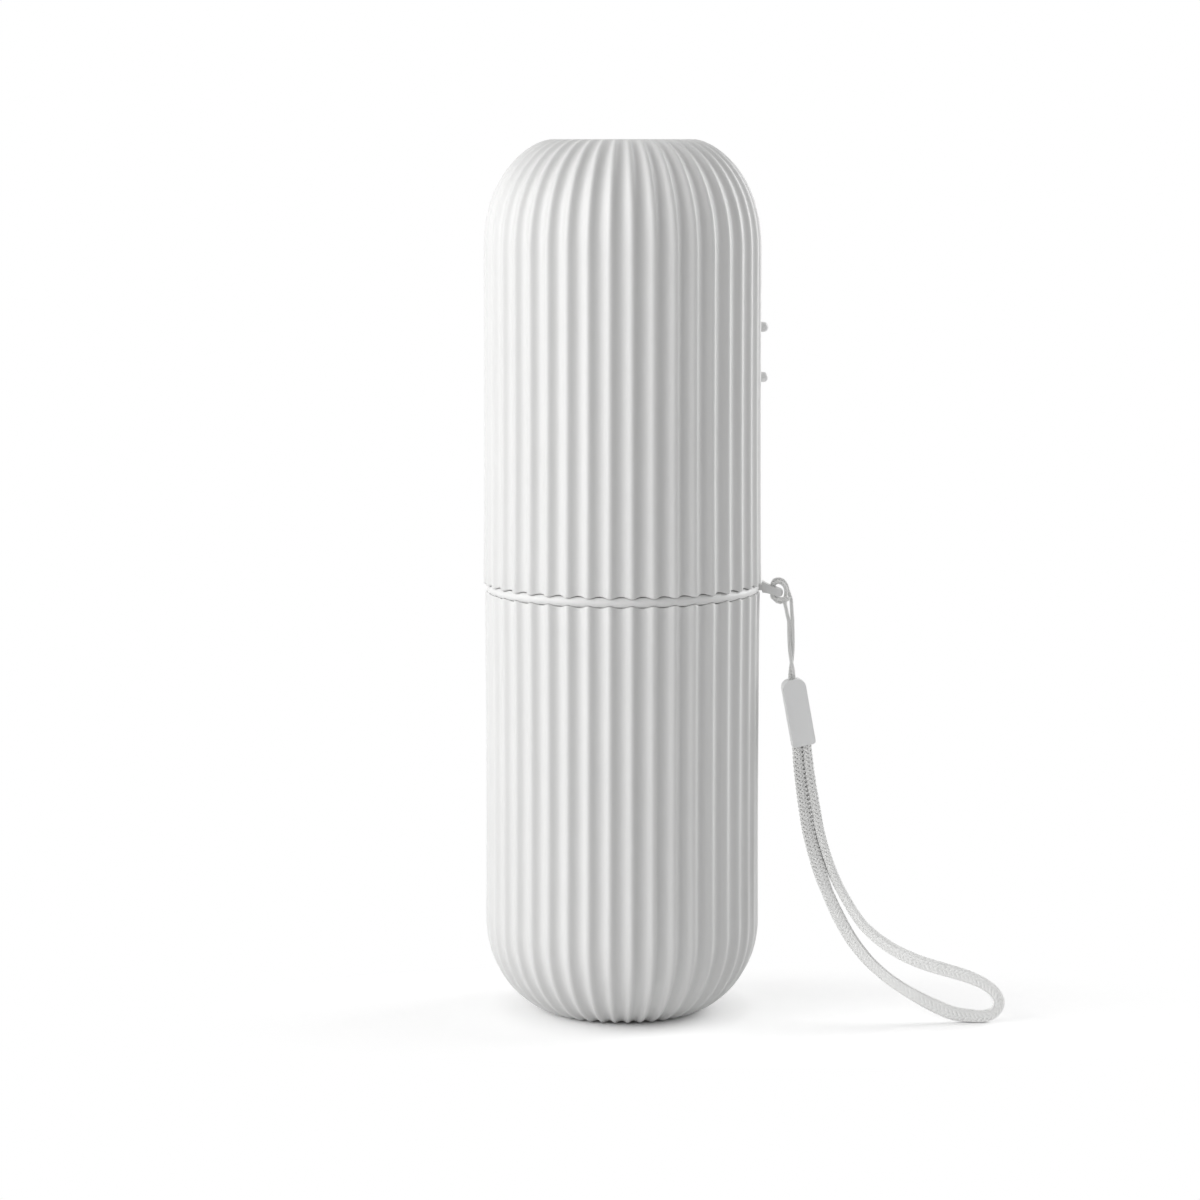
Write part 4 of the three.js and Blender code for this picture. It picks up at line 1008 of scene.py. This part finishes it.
def add_moulded_copies():
    """Each other part is a copy of its CAD node with softened edges."""
    bodies = frame["record"]["behaviour"]["bodies"]
    body_of = {node: body for body, nodes in bodies.items() for node in nodes}
    for part in frame["record"]["subparts"]:
        node = part["node"]
        if node in MADE_AFRESH:
            continue
        mesh = bmesh.new()
        mesh.from_mesh(frame["nodes"][node].data)
        bmesh.ops.remove_doubles(mesh, verts=mesh.verts, dist=SAME_POINT_M)
        bmesh.ops.dissolve_limit(mesh, angle_limit=math.radians(SAME_PLANE_DEG), verts=mesh.verts,
                                 edges=mesh.edges)
        data = bpy.data.meshes.new(node + "_moulded")
        mesh.to_mesh(data)
        mesh.free()
        piece = link(bpy.data.objects.new(node + "_moulded", data))
        bevel = piece.modifiers.new("edges", "BEVEL")
        bevel.width = EDGE_ROUND * MM
        bevel.segments = 2
        bevel.limit_method = "ANGLE"
        bevel.angle_limit = math.radians(EDGE_ANGLE_DEG)
        apply_modifiers(piece)
        piece.data.polygons.foreach_set("use_smooth", [True] * len(piece.data.polygons))
        finish_piece(keep_corners(piece, angle_deg=50), part["material_slot"], body_of[node], node)


add_shells()
add_ring()
add_lug()
add_buttons()
add_liner()
add_seal()
add_moulded_copies()


# Studio, in metres: the floor's shadow fades to white between two distances from its centre
KEY_LIGHT = {"place": (-1.4, -0.42, 0.6), "size": (1.4, 1.4), "energy": 18.8}
FILL_LIGHT = {"place": (1.2, 0.6, 0.6), "size": (0.9, 1.2), "energy": 14.8}
FRONT_LIGHT = {"place": (-0.9, -1.3, 0.7), "size": (1.0, 1.0), "energy": 6.0}
LIT_POINT = (0, 0, 0.1)
AMBIENT = 0.29
FLOOR_HALF_MM = 3000
FLOOR_COLOUR = 0.8
FLOOR_LOOK = 1.0
FLOOR_GLOW = 0.235
# Reach of the painted contact shadow in the floor's glow
CONTACT_SHADOW_REACH = 0.009
SHADOW_CENTRE = (0.03, -0.02, 0)
SHADOW_SQUEEZE = (1, 2.5, 1)
SHADOW_NEAR = 0.04
SHADOW_FAR = 0.14


def area_light(name, place, size, energy):
    light = bpy.data.lights.new(name, "AREA")
    light.shape = "RECTANGLE"
    light.size, light.size_y = size
    light.energy = energy
    obj = link(bpy.data.objects.new(name, light))
    obj.location = place
    obj.rotation_euler = (Vector(LIT_POINT) - Vector(place)).to_track_quat("-Z", "Y").to_euler()


def seen_directly(nodes, links):
    """1 for camera, mirror and glass rays, 0 for the rays that light the object."""
    rays = nodes.new("ShaderNodeLightPath").outputs
    seen = math_node(nodes, links, "MAXIMUM", rays["Is Camera Ray"], rays["Is Glossy Ray"])
    return math_node(nodes, links, "MAXIMUM", seen, rays["Is Transmission Ray"])


def add_world():
    world = bpy.data.worlds.new("studio")
    bpy.context.scene.world = world
    world.use_nodes = True
    nodes, links = world.node_tree.nodes, world.node_tree.links
    ambient = nodes["Background"]
    ambient.inputs["Color"].default_value = (1, 1, 1, 1)
    ambient.inputs["Strength"].default_value = AMBIENT
    white = nodes.new("ShaderNodeBackground")
    white.inputs["Color"].default_value = (1, 1, 1, 1)
    mix = nodes.new("ShaderNodeMixShader")
    links.new(seen_directly(nodes, links), mix.inputs["Fac"])
    links.new(ambient.outputs["Background"], mix.inputs[1])
    links.new(white.outputs["Background"], mix.inputs[2])
    links.new(mix.outputs["Shader"], nodes["World Output"].inputs["Surface"])


def floor_material():
    """A matt floor that keeps the shadows near the case, paints a contact shadow into its glow and fades to
    the white of the world.
    """
    made, nodes, links, shader = material("floor_white", 0.9, specular=0.1)
    seen = seen_directly(nodes, links)
    lift = math_node(nodes, links, "MULTIPLY", seen, FLOOR_LOOK - FLOOR_COLOUR)
    # Painted contact shadow: the glow darkens where the case and strap lie close above the floor.
    painted_contact_shadow = nodes.new("ShaderNodeAmbientOcclusion")
    painted_contact_shadow.inputs["Distance"].default_value = CONTACT_SHADOW_REACH
    links.new(math_node(nodes, links, "ADD", lift, FLOOR_COLOUR), shader.inputs["Base Color"])
    distance = nodes.new("ShaderNodeVectorMath")
    distance.operation = "DISTANCE"
    distance.inputs[1].default_value = SHADOW_CENTRE
    squeeze = nodes.new("ShaderNodeVectorMath")
    squeeze.operation = "MULTIPLY"
    squeeze.inputs[1].default_value = SHADOW_SQUEEZE
    links.new(object_place(nodes), squeeze.inputs[0])
    links.new(squeeze.outputs["Vector"], distance.inputs[0])
    fade = nodes.new("ShaderNodeMapRange")
    fade.interpolation_type = "SMOOTHSTEP"
    fade.inputs["From Min"].default_value = SHADOW_NEAR
    fade.inputs["From Max"].default_value = SHADOW_FAR
    links.new(distance.outputs["Value"], fade.inputs["Value"])
    glow = nodes.new("ShaderNodeEmission")
    shadowed_glow = math_node(nodes, links, "MULTIPLY", painted_contact_shadow.outputs["AO"], FLOOR_GLOW)
    links.new(math_node(nodes, links, "MULTIPLY", seen, shadowed_glow), glow.inputs["Strength"])
    near = nodes.new("ShaderNodeAddShader")
    links.new(shader.outputs["BSDF"], near.inputs[0])
    links.new(glow.outputs["Emission"], near.inputs[1])
    white = nodes.new("ShaderNodeEmission")
    mix = nodes.new("ShaderNodeMixShader")
    links.new(math_node(nodes, links, "MULTIPLY", seen, fade.outputs["Result"]), mix.inputs["Fac"])
    links.new(near.outputs["Shader"], mix.inputs[1])
    links.new(white.outputs["Emission"], mix.inputs[2])
    links.new(mix.outputs["Shader"], nodes["Material Output"].inputs["Surface"])
    return made


def add_floor():
    h = FLOOR_HALF_MM
    floor = new_object("floor", [(-h, -h, 0), (h, -h, 0), (h, h, 0), (-h, h, 0)], [(0, 1, 2, 3)])
    floor.data.materials.append(floor_material())


add_world()
add_floor()
area_light("key", **KEY_LIGHT)
area_light("fill", **FILL_LIGHT)
area_light("front", **FRONT_LIGHT)

bpy.context.scene.view_settings.view_transform = "Standard"
